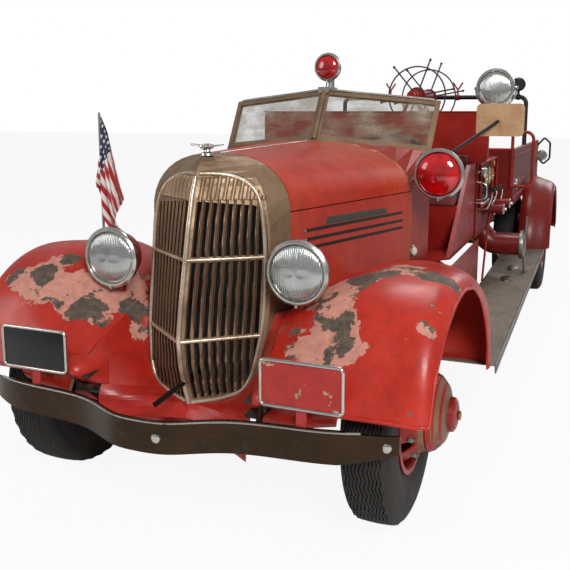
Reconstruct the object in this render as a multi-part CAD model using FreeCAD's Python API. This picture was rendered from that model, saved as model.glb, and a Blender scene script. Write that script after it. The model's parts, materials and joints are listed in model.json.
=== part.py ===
"""A 1930s open-cab pumper fire engine, built as separate pieces at real size, in millimetres.

The frame: +Z up, +X towards the vehicle's left, the front faces -Y. The origin is on the ground, at the
middle of the vehicle's length and width. Lengthwise places are stations: front(d) is d behind the front
axle, rear(d) is d behind the rear axle.
"""

import FreeCAD
import Part

import math
import os

from FreeCAD import Vector

# Driving dimensions of the chassis
WHEELBASE = 4650.0
FRONT_OVERHANG = 740.0
REAR_OVERHANG = 1500.0
FRONT_TRACK = 1564.0
REAR_TRACK = 1744.0
DUAL_SPACING = 250.0
TYRE_RADIUS = 473.0
TYRE_WIDTH = 210.0
RIM_RADIUS = 254.0
RIM_WIDTH = 184.0
SEAT_GAP = 0.3
RUNNING_GAP = 0.05

# Frame rails, channel section
RAIL_HALF = 420.0
RAIL_BOTTOM = 640.0
RAIL_DEPTH = 200.0
RAIL_FLANGE = 70.0
RAIL_WALL = 8.0
HORN_START = 100.0
HORN_REACH = 560.0
HORN_BOTTOM = 575.0
HORN_TOP = 640.0
HORN_NECK = 330.0
HORN_NECK_TOP = 672.0
RAIL_REAR = 1150.0
CROSS_WIDTH = 90.0

# Front axle, kingpins and steering
KINGPIN_HALF = 652.0
KINGPIN_RADIUS = 15.0
BOSS_RADIUS = 38.0
BOSS_HEIGHT = 100.0
EAR_THICK = 27.0
SPINDLE_RADIUS = 28.0
SPINDLE_LENGTH = 190.0
BACKPLATE_RADIUS = 185.0
ARM_LENGTH = 150.0
ARM_PIN_RADIUS = 10.0
TIE_ROD_RADIUS = 14.0
TIE_EYE_RADIUS = 18.0
AXLE_BEAM_HEIGHT = 80.0
AXLE_BEAM_WIDTH = 70.0
AXLE_DROP = 93.0

# Leaf springs
SPRING_WIDTH = 60.0
SPRING_STACK = 52.0
FRONT_SPRING_HALF = 460.0
REAR_SPRING_HALF = 600.0
SPRING_EYE_RADIUS = 20.0

# Rear axle
AXLE_TUBE_RADIUS = 60.0
REAR_SPINDLE_RADIUS = 40.0
BANJO_RADIUS = 165.0
BANJO_WIDTH = 190.0
DRUM_RADIUS = 200.0
DRUM_WIDTH = 62.0

# Wheels
DISC_THICK = 9.0
HUB_RADIUS = 62.0
HUB_COVER_RADIUS = 165.0
HUB_CAP_RADIUS = 72.0
FRONT_HUB_FACE = 1051.0
HAND_HOLES = 6
HAND_HOLE_RADIUS = 30.0
HAND_HOLE_RING = 202.0

# Engine, radiator and drive line
ENGINE_HALF = 255.0
ENGINE_FRONT = 130.0
ENGINE_LENGTH = 830.0
ENGINE_BOTTOM = 600.0
ENGINE_TOP = 1190.0
GEARBOX_LENGTH = 560.0
GEARBOX_HALF = 150.0
GEARBOX_TOP = 835.0
SHAFT_RADIUS = 38.0
RADIATOR_HALF = 262.0
RADIATOR_FRONT = -40.0
RADIATOR_DEPTH = 90.0
RADIATOR_TOP = 1420.0

# Grille shell, a V in plan
SHELL_WALL = 9.0
SHELL_REAR = -62.0
SLOT_COUNT = 9
SLOT_WIDTH = 18.0
SLOT_TOP = 1345.0
FACE_FRAME = 20.0
CROSS_BAR_HEIGHT = 20.0
CROSS_BARS = (787.0, 1110.0)
CRANK_RADIUS = 11.0
CRANK_REACH = 615.0

# Hood
HOOD_FRONT = -56.0
HOOD_REAR = 985.0
HOOD_FRONT_HALF = 335.0
HOOD_REAR_HALF = 600.0
HOOD_FRONT_TOP = 1528.0
HOOD_REAR_TOP = 1551.0
HOOD_SEAM = 1290.0
HOOD_BOTTOM = 892.0
HOOD_SKIN = 6.0
HOOD_GAP = 5.0
HINGE_HALF = 6.0
HINGE_ROD_X = 14.0
HINGE_ROD_RADIUS = 3.5
HINGE_TUBE_RADIUS = 7.0
HINGE_DROP = 5.0
HINGE_TAB = 16.0
HOOD_WIDTH_POWER = 2.6
HOOD_RISE_POWER = 1.9

# Cowl and windshield
COWL_REAR = 1275.0
COWL_REAR_HALF = 642.0
COWL_REAR_TOP = 1540.0
COWL_SHOULDER = 1478.0
DASH_DEPTH = 200.0
COWL_SKIN = 10.0
SHIELD_BASE = (0.0, 1092.0, 1556.0)
SHIELD_CORNER = (644.0, 1273.0, 1492.0)
SHIELD_TOP = (0.0, 1277.0, 1843.0)
SHIELD_FLARE = 1.02
SHIELD_THICK = 22.0
SHIELD_BORDER = 32.0
SHIELD_SKIRT = 60.0
POST_RADIUS = 17.0
GLASS_THICK = 6.0

# Cab
FLOOR_TOP = 862.0
FLOOR_THICK = 12.0
CAB_HALF = 750.0
CAB_SIDE_THICK = 26.0
SEAT_FRONT = 1700.0
SEAT_RISER_TOP = 1130.0
SEAT_HALF = 715.0
CUSHION_THICK = 150.0
SEAT_BACK_FRONT = 2130.0
SEAT_BACK_TOP = 1430.0
BACK_PANEL_FRONT = 2250.0
BACK_PANEL_THICK = 60.0
BACK_PANEL_HALF = 830.0
BACK_PANEL_TOP = 1720.0
BACK_PANEL_LOW = 1372.0
SIDE_TOP_STATION = 2040.0
SIDE_TOP = 1372.0
SIDE_LOW_STATION = 1405.0
COLUMN_X = 380.0
COLUMN_FOOT = (1050.0, 884.0)
COLUMN_HEAD = (1480.0, 1420.0)
COLUMN_RADIUS = 19.0
COLUMN_SHAFT = 10.0
WHEEL_RIM_RADIUS = 215.0
WHEEL_RIM_TUBE = 12.0

# Fenders and running boards
FENDER_SKIN = 6.0
ARCH_RADIUS = 530.0
BOARD_TOP = 500.0
BOARD_THICK = 30.0
BOARD_INNER = 795.0
BOARD_OUTER = 1130.0
BOARD_START = 610.0
REAR_FENDER_OUTER = 1170.0
REAR_FENDER_RADIUS = 628.0

# Pump house between the cab and the hose body
PUMP_LENGTH = 1040.0
PUMP_HALF = 760.0
PUMP_TOP = 1370.0
PUMP_WALL = 20.0
SUCTION_STATION = 2900.0
SUCTION_Z = 720.0
SUCTION_HIGH = 935.0
SUCTION_RADIUS = 85.0
SUCTION_REACH = 1045.0
DISCHARGE_RADIUS = 38.98
DISCHARGE_REACH = 905.0
THREAD_LENGTH = 45.0
DISCHARGE_Z = 1010.0
DISCHARGE_STATIONS = (2690.0, 3110.0)

# Hose body
HOSE_REAR = 1390.0
HOSE_HALF = 900.0
HOSE_FLOOR = 985.0
HOSE_SIDE_TOP = 1420.0
HOSE_WALL = 22.0

# Hose reel
REEL_Z = 1870.0
REEL_STATIONS = (3700.0, 4200.0)
REEL_RING_RADIUS = 255.0
REEL_RING_TUBE = 7.0
REEL_SPOKE_REACH = 330.0
REEL_SPOKE_RADIUS = 7.0
REEL_KNOB_RADIUS = 12.0
REEL_HUB_RADIUS = 62.0
REEL_SHAFT_RADIUS = 20.0
REEL_SPOKES = 6
REEL_STAND_STATION = 3560.0
RACK_STATION = 4350.0
RACK_RADIUS = 20.0
RACK_HALF = 885.0
RACK_BEND = 60.0

# Bumper, lamps and fittings
BUMPER_Z = 522.0
BUMPER_HEIGHT = 128.0
BUMPER_THICK = 12.0
BUMPER_HALF = 925.0
LAMP_X = 440.0
LAMP_STATION = -253.0
LAMP_Z = 1071.0
LAMP_RADIUS = 127.0
PLATE_WIDTH = 310.0
PLATE_HEIGHT = 165.0
PLATE_THICK = 10.0
PLATE_X = 590.0
PLATE_STATION = -590.0
PLATE_LOW = 655.0
SIREN_AT = (765.0, 900.0, 1392.0)
SIREN_RADIUS = 125.0
BEACON_AT = (0.0, 1330.0, 1975.0)
BEACON_RADIUS = 75.0
SPOT_AT = (862.0, 2262.0, 1878.0)
SPOT_RADIUS = 120.0
MIRROR_AT = (980.0, 1600.0, 1667.0)
MIRROR_SIZE = (275.0, 190.0)
STAFF_AT = (-660.0, 0.0)
STAFF_TOP = 1700.0
STAFF_RADIUS = 6.0
GRAB_RADIUS = 13.0
GRAB_INNER = 884.0
GRAB_OUTER = 1046.0
GRAB_LOW = 1126.0
GRAB_TOP = 1566.0
FORK_PLACES = (-410.0, 250.0, 600.0)
BALL_LAMP_Z = 1985.0
PANEL_START = 2420.0
PANEL_END = 2930.0
PANEL_LOW = 1075.0
PANEL_TOP = 1345.0
GAUGE_RADII = (60.0, 60.0, 44.0)

TAILBOARD_HALF = 950.0
TAILBOARD_TOP = 530.0

FRONT_AXLE_Y = FRONT_OVERHANG - (WHEELBASE + FRONT_OVERHANG + REAR_OVERHANG) / 2
REAR_AXLE_Y = FRONT_AXLE_Y + WHEELBASE
UP = Vector(0, 0, 1)
ALONG = Vector(0, 1, 0)
ACROSS = Vector(1, 0, 0)


def front(d):
    """Y of the station d behind the front axle."""
    return FRONT_AXLE_Y + d


def rear(d):
    """Y of the station d behind the rear axle."""
    return REAR_AXLE_Y + d


def box(x0, x1, y0, y1, z0, z1):
    """A box between two corners."""
    return Part.makeBox(x1 - x0, y1 - y0, z1 - z0, Vector(x0, y0, z0))


def cylinder(radius, start, end):
    """A round bar from start to end."""
    run = end - start
    return Part.makeCylinder(radius, run.Length, start, run)


def ball(radius, at):
    """A sphere."""
    return Part.makeSphere(radius, at)


def fused(shapes):
    """One solid from shapes that touch."""
    whole = shapes[0].multiFuse(shapes[1:]) if len(shapes) > 1 else shapes[0]
    return whole.removeSplitter()


def mirrored(shape):
    """The same piece on the vehicle's other side."""
    return shape.mirror(Vector(0, 0, 0), ACROSS)


def both_sides(shape):
    """A piece and its mirror image, as two solids in one shape."""
    return Part.makeCompound([shape, mirrored(shape)])


def prism(points, run):
    """A flat outline, closed and extruded along run."""
    wire = Part.makePolygon([*points, points[0]])
    return Part.Face(wire).extrude(run)


def turned(points, origin, axis=ACROSS):
    """A solid of revolution: points are (along the axis, radius)."""
    side = Vector(0, 0, 1)
    outline = [origin + axis * a + side * r for a, r in points]
    wire = Part.makePolygon([*outline, outline[0]])
    return Part.Face(wire).revolve(origin, axis, 360)


def bent_bar(points, radius, bend):
    """A round bar through points, with a bend of one radius at each inner point."""
    edges = []
    start = points[0]
    for i in range(1, len(points) - 1):
        here = points[i]
        into = (here - points[i - 1]).normalize()
        out = (points[i + 1] - here).normalize()
        turn = into.getAngle(out)
        cut = bend * math.tan(turn / 2)
        first = here - into * cut
        last = here + out * cut
        centre_way = (out - into).normalize()
        centre = here + centre_way * (bend / math.cos(turn / 2))
        middle = centre - centre_way * bend
        edges.append(Part.LineSegment(start, first).toShape())
        edges.append(Part.Arc(first, middle, last).toShape())
        start = last
    edges.append(Part.LineSegment(start, points[-1]).toShape())
    path = Part.Wire(edges)
    ring = Part.Wire([Part.makeCircle(radius, points[0], points[1] - points[0])])
    return path.makePipeShell([ring], True, False)


def spline(points):
    """A smooth curve through points, as an edge."""
    curve = Part.BSplineCurve()
    curve.interpolate([Vector(*p) for p in points])
    return curve.toShape()


def line(a, b):
    """A straight edge."""
    return Part.makeLine(Vector(*a), Vector(*b))


def loft(wires, ruled=True):
    """A solid through closed wires, with its faces pointing outwards."""
    solid = Part.makeLoft(wires, True, ruled)
    if solid.Volume < 0:
        solid.reverse()
    return solid


def faceted(sections):
    """A solid of flat facets through flat point rings of equal count."""
    faces = []
    for near, far in zip(sections, sections[1:]):
        count = len(near)
        for i in range(count):
            j = (i + 1) % count
            for ring in ((near[i], near[j], far[j]), (near[i], far[j], far[i])):
                faces.append(Part.Face(Part.makePolygon([*ring, ring[0]])))
    for ring in (sections[0], sections[-1]):
        faces.append(Part.Face(Part.makePolygon([*ring, ring[0]])))
    solid = Part.Solid(Part.Shell(faces))
    if solid.Volume < 0:
        solid.reverse()
    return solid


def trimmed(shape, *others):
    """The highest piece of shape that is left outside its neighbours, so that it seats on them."""
    rest = shape
    for other in others:
        rest = rest.cut(other)
    return max(rest.Solids, key=lambda solid: solid.CenterOfMass.z)


def below(z):
    """A block that fills everything under height z, for trimming."""
    return box(-2000, 2000, -5000, 5000, z - 900, z)


def skin_section(outer, inner):
    """A closed wire of a curved sheet's section, from its outer and inner points."""
    return Part.Wire(
        [spline(outer), line(outer[-1], inner[-1]), spline(inner), line(inner[0], outer[0])]
    )


def cross_member_places():
    """Lengthwise centres of the cross members: the first one carries the radiator and the grille shell."""
    first = front(SHELL_REAR) + CROSS_WIDTH / 2
    return (first, front(2150), front(3250), rear(-780), rear(620), rear(RAIL_REAR - 60))


def cross_member(y, z0, z1):
    """A boxed member between the two rails."""
    reach = RAIL_HALF - RAIL_WALL
    return box(-reach, reach, y - CROSS_WIDTH / 2, y + CROSS_WIDTH / 2, z0, z1)


def rail_outline(x, inset):
    """Side view of a rail as points: straight, with a horn that drops towards the bumper."""
    tip = front(-HORN_REACH)
    return [
        Vector(x, tip, HORN_BOTTOM + inset),
        Vector(x, front(-HORN_START), RAIL_BOTTOM + inset),
        Vector(x, rear(RAIL_REAR), RAIL_BOTTOM + inset),
        Vector(x, rear(RAIL_REAR), RAIL_BOTTOM + RAIL_DEPTH - inset),
        Vector(x, front(-HORN_START), RAIL_BOTTOM + RAIL_DEPTH - inset),
        Vector(x, front(-HORN_NECK), HORN_NECK_TOP - inset),
        Vector(x, tip, HORN_TOP - inset),
    ]


def rail_bottom_at(y):
    """Height of a rail's underside at one place along it."""
    drop = max(0.0, front(-HORN_START) - y) / (HORN_REACH - HORN_START)
    return RAIL_BOTTOM - (RAIL_BOTTOM - HORN_BOTTOM) * drop


def frame_rails():
    """Two channel rails tied by cross members."""
    inner = RAIL_HALF - RAIL_FLANGE
    rail = prism(rail_outline(inner, 0.0), Vector(RAIL_FLANGE, 0, 0))
    hollow = prism(rail_outline(inner - 1, RAIL_WALL), Vector(RAIL_FLANGE - RAIL_WALL + 1, 0, 0))
    rail = rail.cut(hollow)
    members = []
    top = RAIL_BOTTOM + RAIL_DEPTH - RAIL_WALL
    for y in cross_member_places():
        members.append(cross_member(y, RAIL_BOTTOM + 100, top))
    return fused([rail, mirrored(rail), *members])


def leaf_spring(y, half, low):
    """A stack of leaves from eye to eye, with its two hangers under the rail."""
    x0 = RAIL_HALF - SPRING_WIDTH
    x1 = RAIL_HALF
    near, far = (y - half, y + half)
    near_z, far_z = (rail_bottom_at(end) - SPRING_EYE_RADIUS - 12 for end in (near, far))
    top = [Vector(x0, near, near_z), Vector(x0, y, low + SPRING_STACK), Vector(x0, far, far_z)]
    short = half * 0.35
    thin = Vector(0, 0, -10)
    outline = Part.Wire(
        [
            Part.Arc(*top).toShape(),
            Part.makeLine(top[2], top[2] + thin),
            Part.makeLine(top[2] + thin, Vector(x0, y + short, low)),
            Part.makeLine(Vector(x0, y + short, low), Vector(x0, y - short, low)),
            Part.makeLine(Vector(x0, y - short, low), top[0] + thin),
            Part.makeLine(top[0] + thin, top[0]),
        ]
    )
    pieces = [Part.Face(outline).extrude(Vector(x1 - x0, 0, 0))]
    for end, eye_z in ((near, near_z), (far, far_z)):
        eye = Vector(x0, end, eye_z - 5)
        pieces.append(cylinder(SPRING_EYE_RADIUS, eye, eye + ACROSS * SPRING_WIDTH))
        hanger = [
            Vector(x0, end - 24, eye_z - 5),
            Vector(x0, end + 24, eye_z - 5),
            Vector(x0, end + 24, rail_bottom_at(end + 24)),
            Vector(x0, end - 24, rail_bottom_at(end - 24)),
        ]
        pieces.append(prism(hanger, Vector(x1 - x0, 0, 0)))
    return fused(pieces)


def front_springs():
    """The two front springs, seated on the axle and under the rails."""
    return both_sides(leaf_spring(front(0), FRONT_SPRING_HALF, axle_pad_top()))


def axle_pad_top():
    """Height of the front axle's spring pads."""
    return TYRE_RADIUS - AXLE_DROP + AXLE_BEAM_HEIGHT / 2


def front_axle():
    """A dropped I-beam with a bored boss at each kingpin."""
    mid = TYRE_RADIUS - AXLE_DROP
    half = AXLE_BEAM_HEIGHT / 2
    reach = KINGPIN_HALF - BOSS_RADIUS + 8
    drop_start = RAIL_HALF + 30
    outline = [
        Vector(-drop_start, 0, mid - half),
        Vector(drop_start, 0, mid - half),
        Vector(reach, 0, TYRE_RADIUS - half + 6),
        Vector(reach, 0, TYRE_RADIUS + half - 6),
        Vector(drop_start, 0, mid + half),
        Vector(-drop_start, 0, mid + half),
        Vector(-reach, 0, TYRE_RADIUS + half - 6),
        Vector(-reach, 0, TYRE_RADIUS - half + 6),
    ]
    y = front(0) - AXLE_BEAM_WIDTH / 2
    beam = prism([p + Vector(0, y, 0) for p in outline], Vector(0, AXLE_BEAM_WIDTH, 0))
    for side in (-1, 1):
        depth = AXLE_BEAM_WIDTH / 2 - 8
        y0 = front(0) + (8 if side > 0 else -8 - depth)
        pocket = box(-drop_start + 20, drop_start - 20, y0, y0 + depth, mid - half + 16, mid + half - 16)
        beam = beam.cut(pocket)
    pieces = [beam]
    bores = []
    for side in (-1, 1):
        foot = Vector(side * KINGPIN_HALF, front(0), TYRE_RADIUS - BOSS_HEIGHT / 2)
        pieces.append(cylinder(BOSS_RADIUS, foot, foot + UP * BOSS_HEIGHT))
        bores.append(cylinder(KINGPIN_RADIUS + RUNNING_GAP, foot - UP, foot + UP * (BOSS_HEIGHT + 1)))
    return fused(pieces).cut(Part.makeCompound(bores))


def knuckle(side):
    """A steering knuckle: kingpin, two ears, spindle, brake back plate and steering arm."""
    x = side * KINGPIN_HALF
    ear_in = x - side * 30
    web = side * (KINGPIN_HALF + BOSS_RADIUS + 3)
    face = web + side * 16
    low = TYRE_RADIUS - BOSS_HEIGHT / 2 - 1
    high = TYRE_RADIUS + BOSS_HEIGHT / 2 + 1
    xs = sorted((ear_in, face))
    webs = sorted((web, face))
    y = front(0)
    pieces = [
        box(*xs, y - 32, y + 32, high, high + EAR_THICK),
        box(*xs, y - 32, y + 32, low - EAR_THICK, low),
        box(*webs, y - 45, y + 45, low - EAR_THICK, high + EAR_THICK),
        cylinder(KINGPIN_RADIUS, Vector(x, y, low - EAR_THICK), Vector(x, y, high + EAR_THICK)),
        cylinder(
            SPINDLE_RADIUS,
            Vector(web, y, TYRE_RADIUS),
            Vector(web + side * SPINDLE_LENGTH, y, TYRE_RADIUS),
        ),
        cylinder(
            BACKPLATE_RADIUS,
            Vector(face - side * 8, y, TYRE_RADIUS),
            Vector(face, y, TYRE_RADIUS),
        ),
        box(x - 15, x + 15, y, y + ARM_LENGTH + 18, low - EAR_THICK, low - EAR_THICK + 20),
        cylinder(
            ARM_PIN_RADIUS,
            Vector(x, y + ARM_LENGTH, low - EAR_THICK - 36),
            Vector(x, y + ARM_LENGTH, low - EAR_THICK + 5),
        ),
    ]
    return fused(pieces)


def tie_rod():
    """The rod that joins the two steering arms, with an eye round each arm's pin."""
    z = TYRE_RADIUS - BOSS_HEIGHT / 2 - 1 - EAR_THICK - 19
    y = front(ARM_LENGTH)
    pieces = [cylinder(TIE_ROD_RADIUS, Vector(-KINGPIN_HALF + 12, y, z), Vector(KINGPIN_HALF - 12, y, z))]
    bores = []
    for side in (-1, 1):
        foot = Vector(side * KINGPIN_HALF, y, z - 15)
        pieces.append(cylinder(TIE_EYE_RADIUS, foot, foot + UP * 30))
        gap = RUNNING_GAP if side > 0 else SEAT_GAP
        bores.append(cylinder(ARM_PIN_RADIUS + gap, foot - UP, foot + UP * 31))
    return fused(pieces).cut(Part.makeCompound(bores))


def rear_axle():
    """Banjo axle housing with its tubes, spindles, back plates and spring pads."""
    z = TYRE_RADIUS
    y = rear(0)
    plate = REAR_TRACK / 2 - 160
    tip = REAR_TRACK / 2 + 130
    pad_top = rear_pad_top()
    pieces = [
        cylinder(AXLE_TUBE_RADIUS, Vector(-plate, y, z), Vector(plate, y, z)),
        cylinder(REAR_SPINDLE_RADIUS, Vector(-tip, y, z), Vector(tip, y, z)),
        cylinder(BANJO_RADIUS, Vector(-BANJO_WIDTH / 2, y, z), Vector(BANJO_WIDTH / 2, y, z)),
        ball(BANJO_RADIUS * 0.8, Vector(0, y + 60, z)),
    ]
    for side in (-1, 1):
        pieces.append(
            cylinder(BACKPLATE_RADIUS, Vector(side * (plate - 10), y, z), Vector(side * plate, y, z))
        )
        xs = sorted((side * (RAIL_HALF - SPRING_WIDTH), side * RAIL_HALF))
        pieces.append(box(*xs, y - 70, y + 70, z + 20, pad_top))
    return fused(pieces)


def rear_pad_top():
    """Height of the rear axle's spring pads."""
    return TYRE_RADIUS + AXLE_TUBE_RADIUS + 6


def rear_springs():
    """The two rear springs."""
    return both_sides(leaf_spring(rear(0), REAR_SPRING_HALF, rear_pad_top()))


def rim_profile(centre, r):
    """The outline of one wheel rim round its centre plane: (along the axle, radius)."""
    half = RIM_WIDTH / 2
    return [
        (centre - half, r + 14),
        (centre - half, r - 6),
        (centre - half + 12, r - 12),
        (centre + half - 12, r - 12),
        (centre + half, r - 6),
        (centre + half, r + 14),
        (centre + half - 7, r + 14),
        (centre + half - 12, r - 3),
        (centre - half + 12, r - 3),
        (centre - half + 7, r + 14),
    ]


def tyre_solid(centre, side, y):
    """One tyre as a turned section with rounded walls and shoulders."""
    half = TYRE_WIDTH / 2
    seat = RIM_WIDTH / 2 - 12 - SEAT_GAP
    bead = RIM_RADIUS - 3 + SEAT_GAP
    at = Vector(side * centre, y, TYRE_RADIUS)

    wall, crown = half - 12, half - 44

    def p(a, r):
        return at + Vector(side * a, 0, r)

    def arc(a, b, c):
        return Part.Arc(p(*a), p(*b), p(*c)).toShape()

    edges = [
        Part.makeLine(p(-seat, bead), p(seat, bead)),
        Part.makeLine(p(seat, bead), p(seat, RIM_RADIUS + 22)),
        arc((seat, RIM_RADIUS + 22), (half, TYRE_RADIUS * 0.77), (wall, TYRE_RADIUS - 34)),
        arc((wall, TYRE_RADIUS - 34), (wall - 12, TYRE_RADIUS - 11), (crown, TYRE_RADIUS - 4)),
        arc((crown, TYRE_RADIUS - 4), (0, TYRE_RADIUS), (-crown, TYRE_RADIUS - 4)),
        arc((-crown, TYRE_RADIUS - 4), (12 - wall, TYRE_RADIUS - 11), (-wall, TYRE_RADIUS - 34)),
        arc((-wall, TYRE_RADIUS - 34), (-half, TYRE_RADIUS * 0.77), (-seat, RIM_RADIUS + 22)),
        Part.makeLine(p(-seat, RIM_RADIUS + 22), p(-seat, bead)),
    ]
    return Part.Face(Part.Wire(edges)).revolve(at, ACROSS, 360)


def hand_holes(start, length, y, ring):
    """Cutters for the holes round a wheel disc."""
    cutters = []
    for i in range(HAND_HOLES):
        angle = 2 * math.pi * (i + 0.5) / HAND_HOLES
        at = Vector(start, y + ring * math.cos(angle), TYRE_RADIUS + ring * math.sin(angle))
        cutters.append(cylinder(HAND_HOLE_RADIUS, at, at + ACROSS * length))
    return Part.makeCompound(cutters)


def front_wheel(side):
    """A front disc wheel with its rim, drum, hub, bronze cover and centre cap."""
    y = front(0)
    origin = Vector(0, y, TYRE_RADIUS)
    centre = FRONT_TRACK / 2
    web = KINGPIN_HALF + BOSS_RADIUS + 3
    inner = web + 16 + 3
    hub_face = FRONT_HUB_FACE - 120
    rim = turned(rim_profile(centre, RIM_RADIUS), origin)
    disc = turned(
        [
            (centre + 20, RIM_RADIUS - 11),
            (centre + 20 + DISC_THICK, RIM_RADIUS - 11),
            (hub_face + DISC_THICK, HUB_COVER_RADIUS - 12),
            (hub_face + DISC_THICK, HUB_RADIUS - 10),
            (hub_face, HUB_RADIUS - 10),
            (hub_face, HUB_COVER_RADIUS - 16),
        ],
        origin,
    )
    hub = turned(
        [
            (inner, SPINDLE_RADIUS + RUNNING_GAP),
            (inner, DRUM_RADIUS),
            (inner + DRUM_WIDTH, DRUM_RADIUS),
            (inner + DRUM_WIDTH, HUB_RADIUS),
            (hub_face + DISC_THICK + 2, HUB_RADIUS),
            (hub_face + DISC_THICK + 2, 0),
            (web + SPINDLE_LENGTH + 6, 0),
            (web + SPINDLE_LENGTH + 6, SPINDLE_RADIUS + RUNNING_GAP),
        ],
        origin,
    )
    hollow = turned(
        [
            (inner - 1, HUB_RADIUS + 6),
            (inner - 1, DRUM_RADIUS - 10),
            (inner + DRUM_WIDTH - 10, DRUM_RADIUS - 10),
            (inner + DRUM_WIDTH - 10, HUB_RADIUS + 6),
        ],
        origin,
    )
    cover = turned(
        [
            (hub_face + DISC_THICK - 1, 0),
            (hub_face + DISC_THICK - 1, HUB_COVER_RADIUS - 4),
            (hub_face + DISC_THICK + 10, HUB_COVER_RADIUS),
            (hub_face + DISC_THICK + 34, HUB_COVER_RADIUS - 12),
            (hub_face + DISC_THICK + 66, HUB_COVER_RADIUS - 48),
            (hub_face + DISC_THICK + 78, HUB_CAP_RADIUS + 6),
            (FRONT_HUB_FACE - 32, HUB_CAP_RADIUS + 4),
            (FRONT_HUB_FACE - 32, HUB_CAP_RADIUS),
            (FRONT_HUB_FACE - 12, HUB_CAP_RADIUS - 2),
            (FRONT_HUB_FACE - 3, HUB_CAP_RADIUS - 20),
            (FRONT_HUB_FACE, 0),
        ],
        origin,
    )
    wheel = fused([rim, disc, hub.cut(hollow), cover])
    wheel = wheel.cut(hand_holes(inner + DRUM_WIDTH + 2, 150, y, HAND_HOLE_RING))
    return wheel if side > 0 else mirrored(wheel)


def rear_wheel(side):
    """A twin rear wheel: two rims, two discs, drum and hub."""
    y = rear(0)
    origin = Vector(0, y, TYRE_RADIUS)
    centre = REAR_TRACK / 2
    inner = centre - 160 + 5
    tip = centre + 130
    parts = []
    for offset, way in ((-DUAL_SPACING / 2, 1), (DUAL_SPACING / 2, -1)):
        mid = centre + offset
        parts.append(turned(rim_profile(mid, RIM_RADIUS), origin))
        near = mid + way * 60
        plane = centre - way * 2
        parts.append(
            turned(
                [
                    (near, RIM_RADIUS - 11),
                    (near + way * DISC_THICK, RIM_RADIUS - 11),
                    (near + way * DISC_THICK, DRUM_RADIUS + 20),
                    (plane + way * 2, DRUM_RADIUS - 28),
                    (plane + way * 2, HUB_RADIUS - 5),
                    (plane - way * DISC_THICK, HUB_RADIUS - 5),
                    (plane - way * DISC_THICK, DRUM_RADIUS - 32),
                    (near, DRUM_RADIUS + 14),
                ],
                origin,
            )
        )
    hub = turned(
        [
            (inner, REAR_SPINDLE_RADIUS + RUNNING_GAP),
            (inner, DRUM_RADIUS),
            (inner + DRUM_WIDTH, DRUM_RADIUS),
            (inner + DRUM_WIDTH, HUB_RADIUS + 40),
            (centre + 20, HUB_RADIUS + 40),
            (centre + 30, HUB_RADIUS),
            (tip + 26, HUB_RADIUS - 10),
            (tip + 40, HUB_RADIUS - 26),
            (tip + 40, 0),
            (tip + 6, 0),
            (tip + 6, REAR_SPINDLE_RADIUS + RUNNING_GAP),
        ],
        origin,
    )
    hollow = turned(
        [
            (inner - 1, HUB_RADIUS + 6),
            (inner - 1, DRUM_RADIUS - 10),
            (inner + DRUM_WIDTH - 10, DRUM_RADIUS - 10),
            (inner + DRUM_WIDTH - 10, HUB_RADIUS + 6),
        ],
        origin,
    )
    parts.append(hub.cut(hollow))
    wheel = fused(parts)
    return wheel if side > 0 else mirrored(wheel)


def front_tyre(side):
    """A front tyre."""
    return tyre_solid(FRONT_TRACK / 2, side, front(0))


def rear_tyres(side):
    """The twin tyres of one rear wheel."""
    return Part.makeCompound(
        [tyre_solid(REAR_TRACK / 2 + half * DUAL_SPACING, side, rear(0)) for half in (-0.5, 0.5)]
    )


def engine_block():
    """Engine and gearbox, as one plain heavy block."""
    y0 = front(ENGINE_FRONT)
    block = box(-ENGINE_HALF, ENGINE_HALF, y0, y0 + ENGINE_LENGTH, ENGINE_BOTTOM, ENGINE_TOP)
    y = front(ENGINE_FRONT + ENGINE_LENGTH)
    gearbox = box(-GEARBOX_HALF, GEARBOX_HALF, y, y + GEARBOX_LENGTH, ENGINE_BOTTOM, GEARBOX_TOP)
    feet = []
    for side in (-1, 1):
        xs = sorted((side * (ENGINE_HALF - 1), side * (RAIL_HALF - RAIL_WALL)))
        feet.append(box(*xs, front(500), front(580), RAIL_BOTTOM + RAIL_WALL, RAIL_BOTTOM + 60))
    return fused([block, gearbox, *feet])


def drive_shaft():
    """The shaft from the gearbox to the rear axle, through the pump's gear case."""
    start = Vector(0, front(ENGINE_FRONT + ENGINE_LENGTH + GEARBOX_LENGTH), ENGINE_BOTTOM + 90)
    end = Vector(0, rear(-BANJO_RADIUS - 4), TYRE_RADIUS + 30)
    return cylinder(SHAFT_RADIUS, start, end).cut(engine_block())


def radiator_core():
    """The radiator behind the grille, on the front cross member."""
    core = box(
        -RADIATOR_HALF,
        RADIATOR_HALF,
        front(RADIATOR_FRONT),
        front(RADIATOR_FRONT + RADIATOR_DEPTH),
        RAIL_BOTTOM + RAIL_DEPTH - RAIL_WALL,
        RADIATOR_TOP,
    )
    return core


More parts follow.
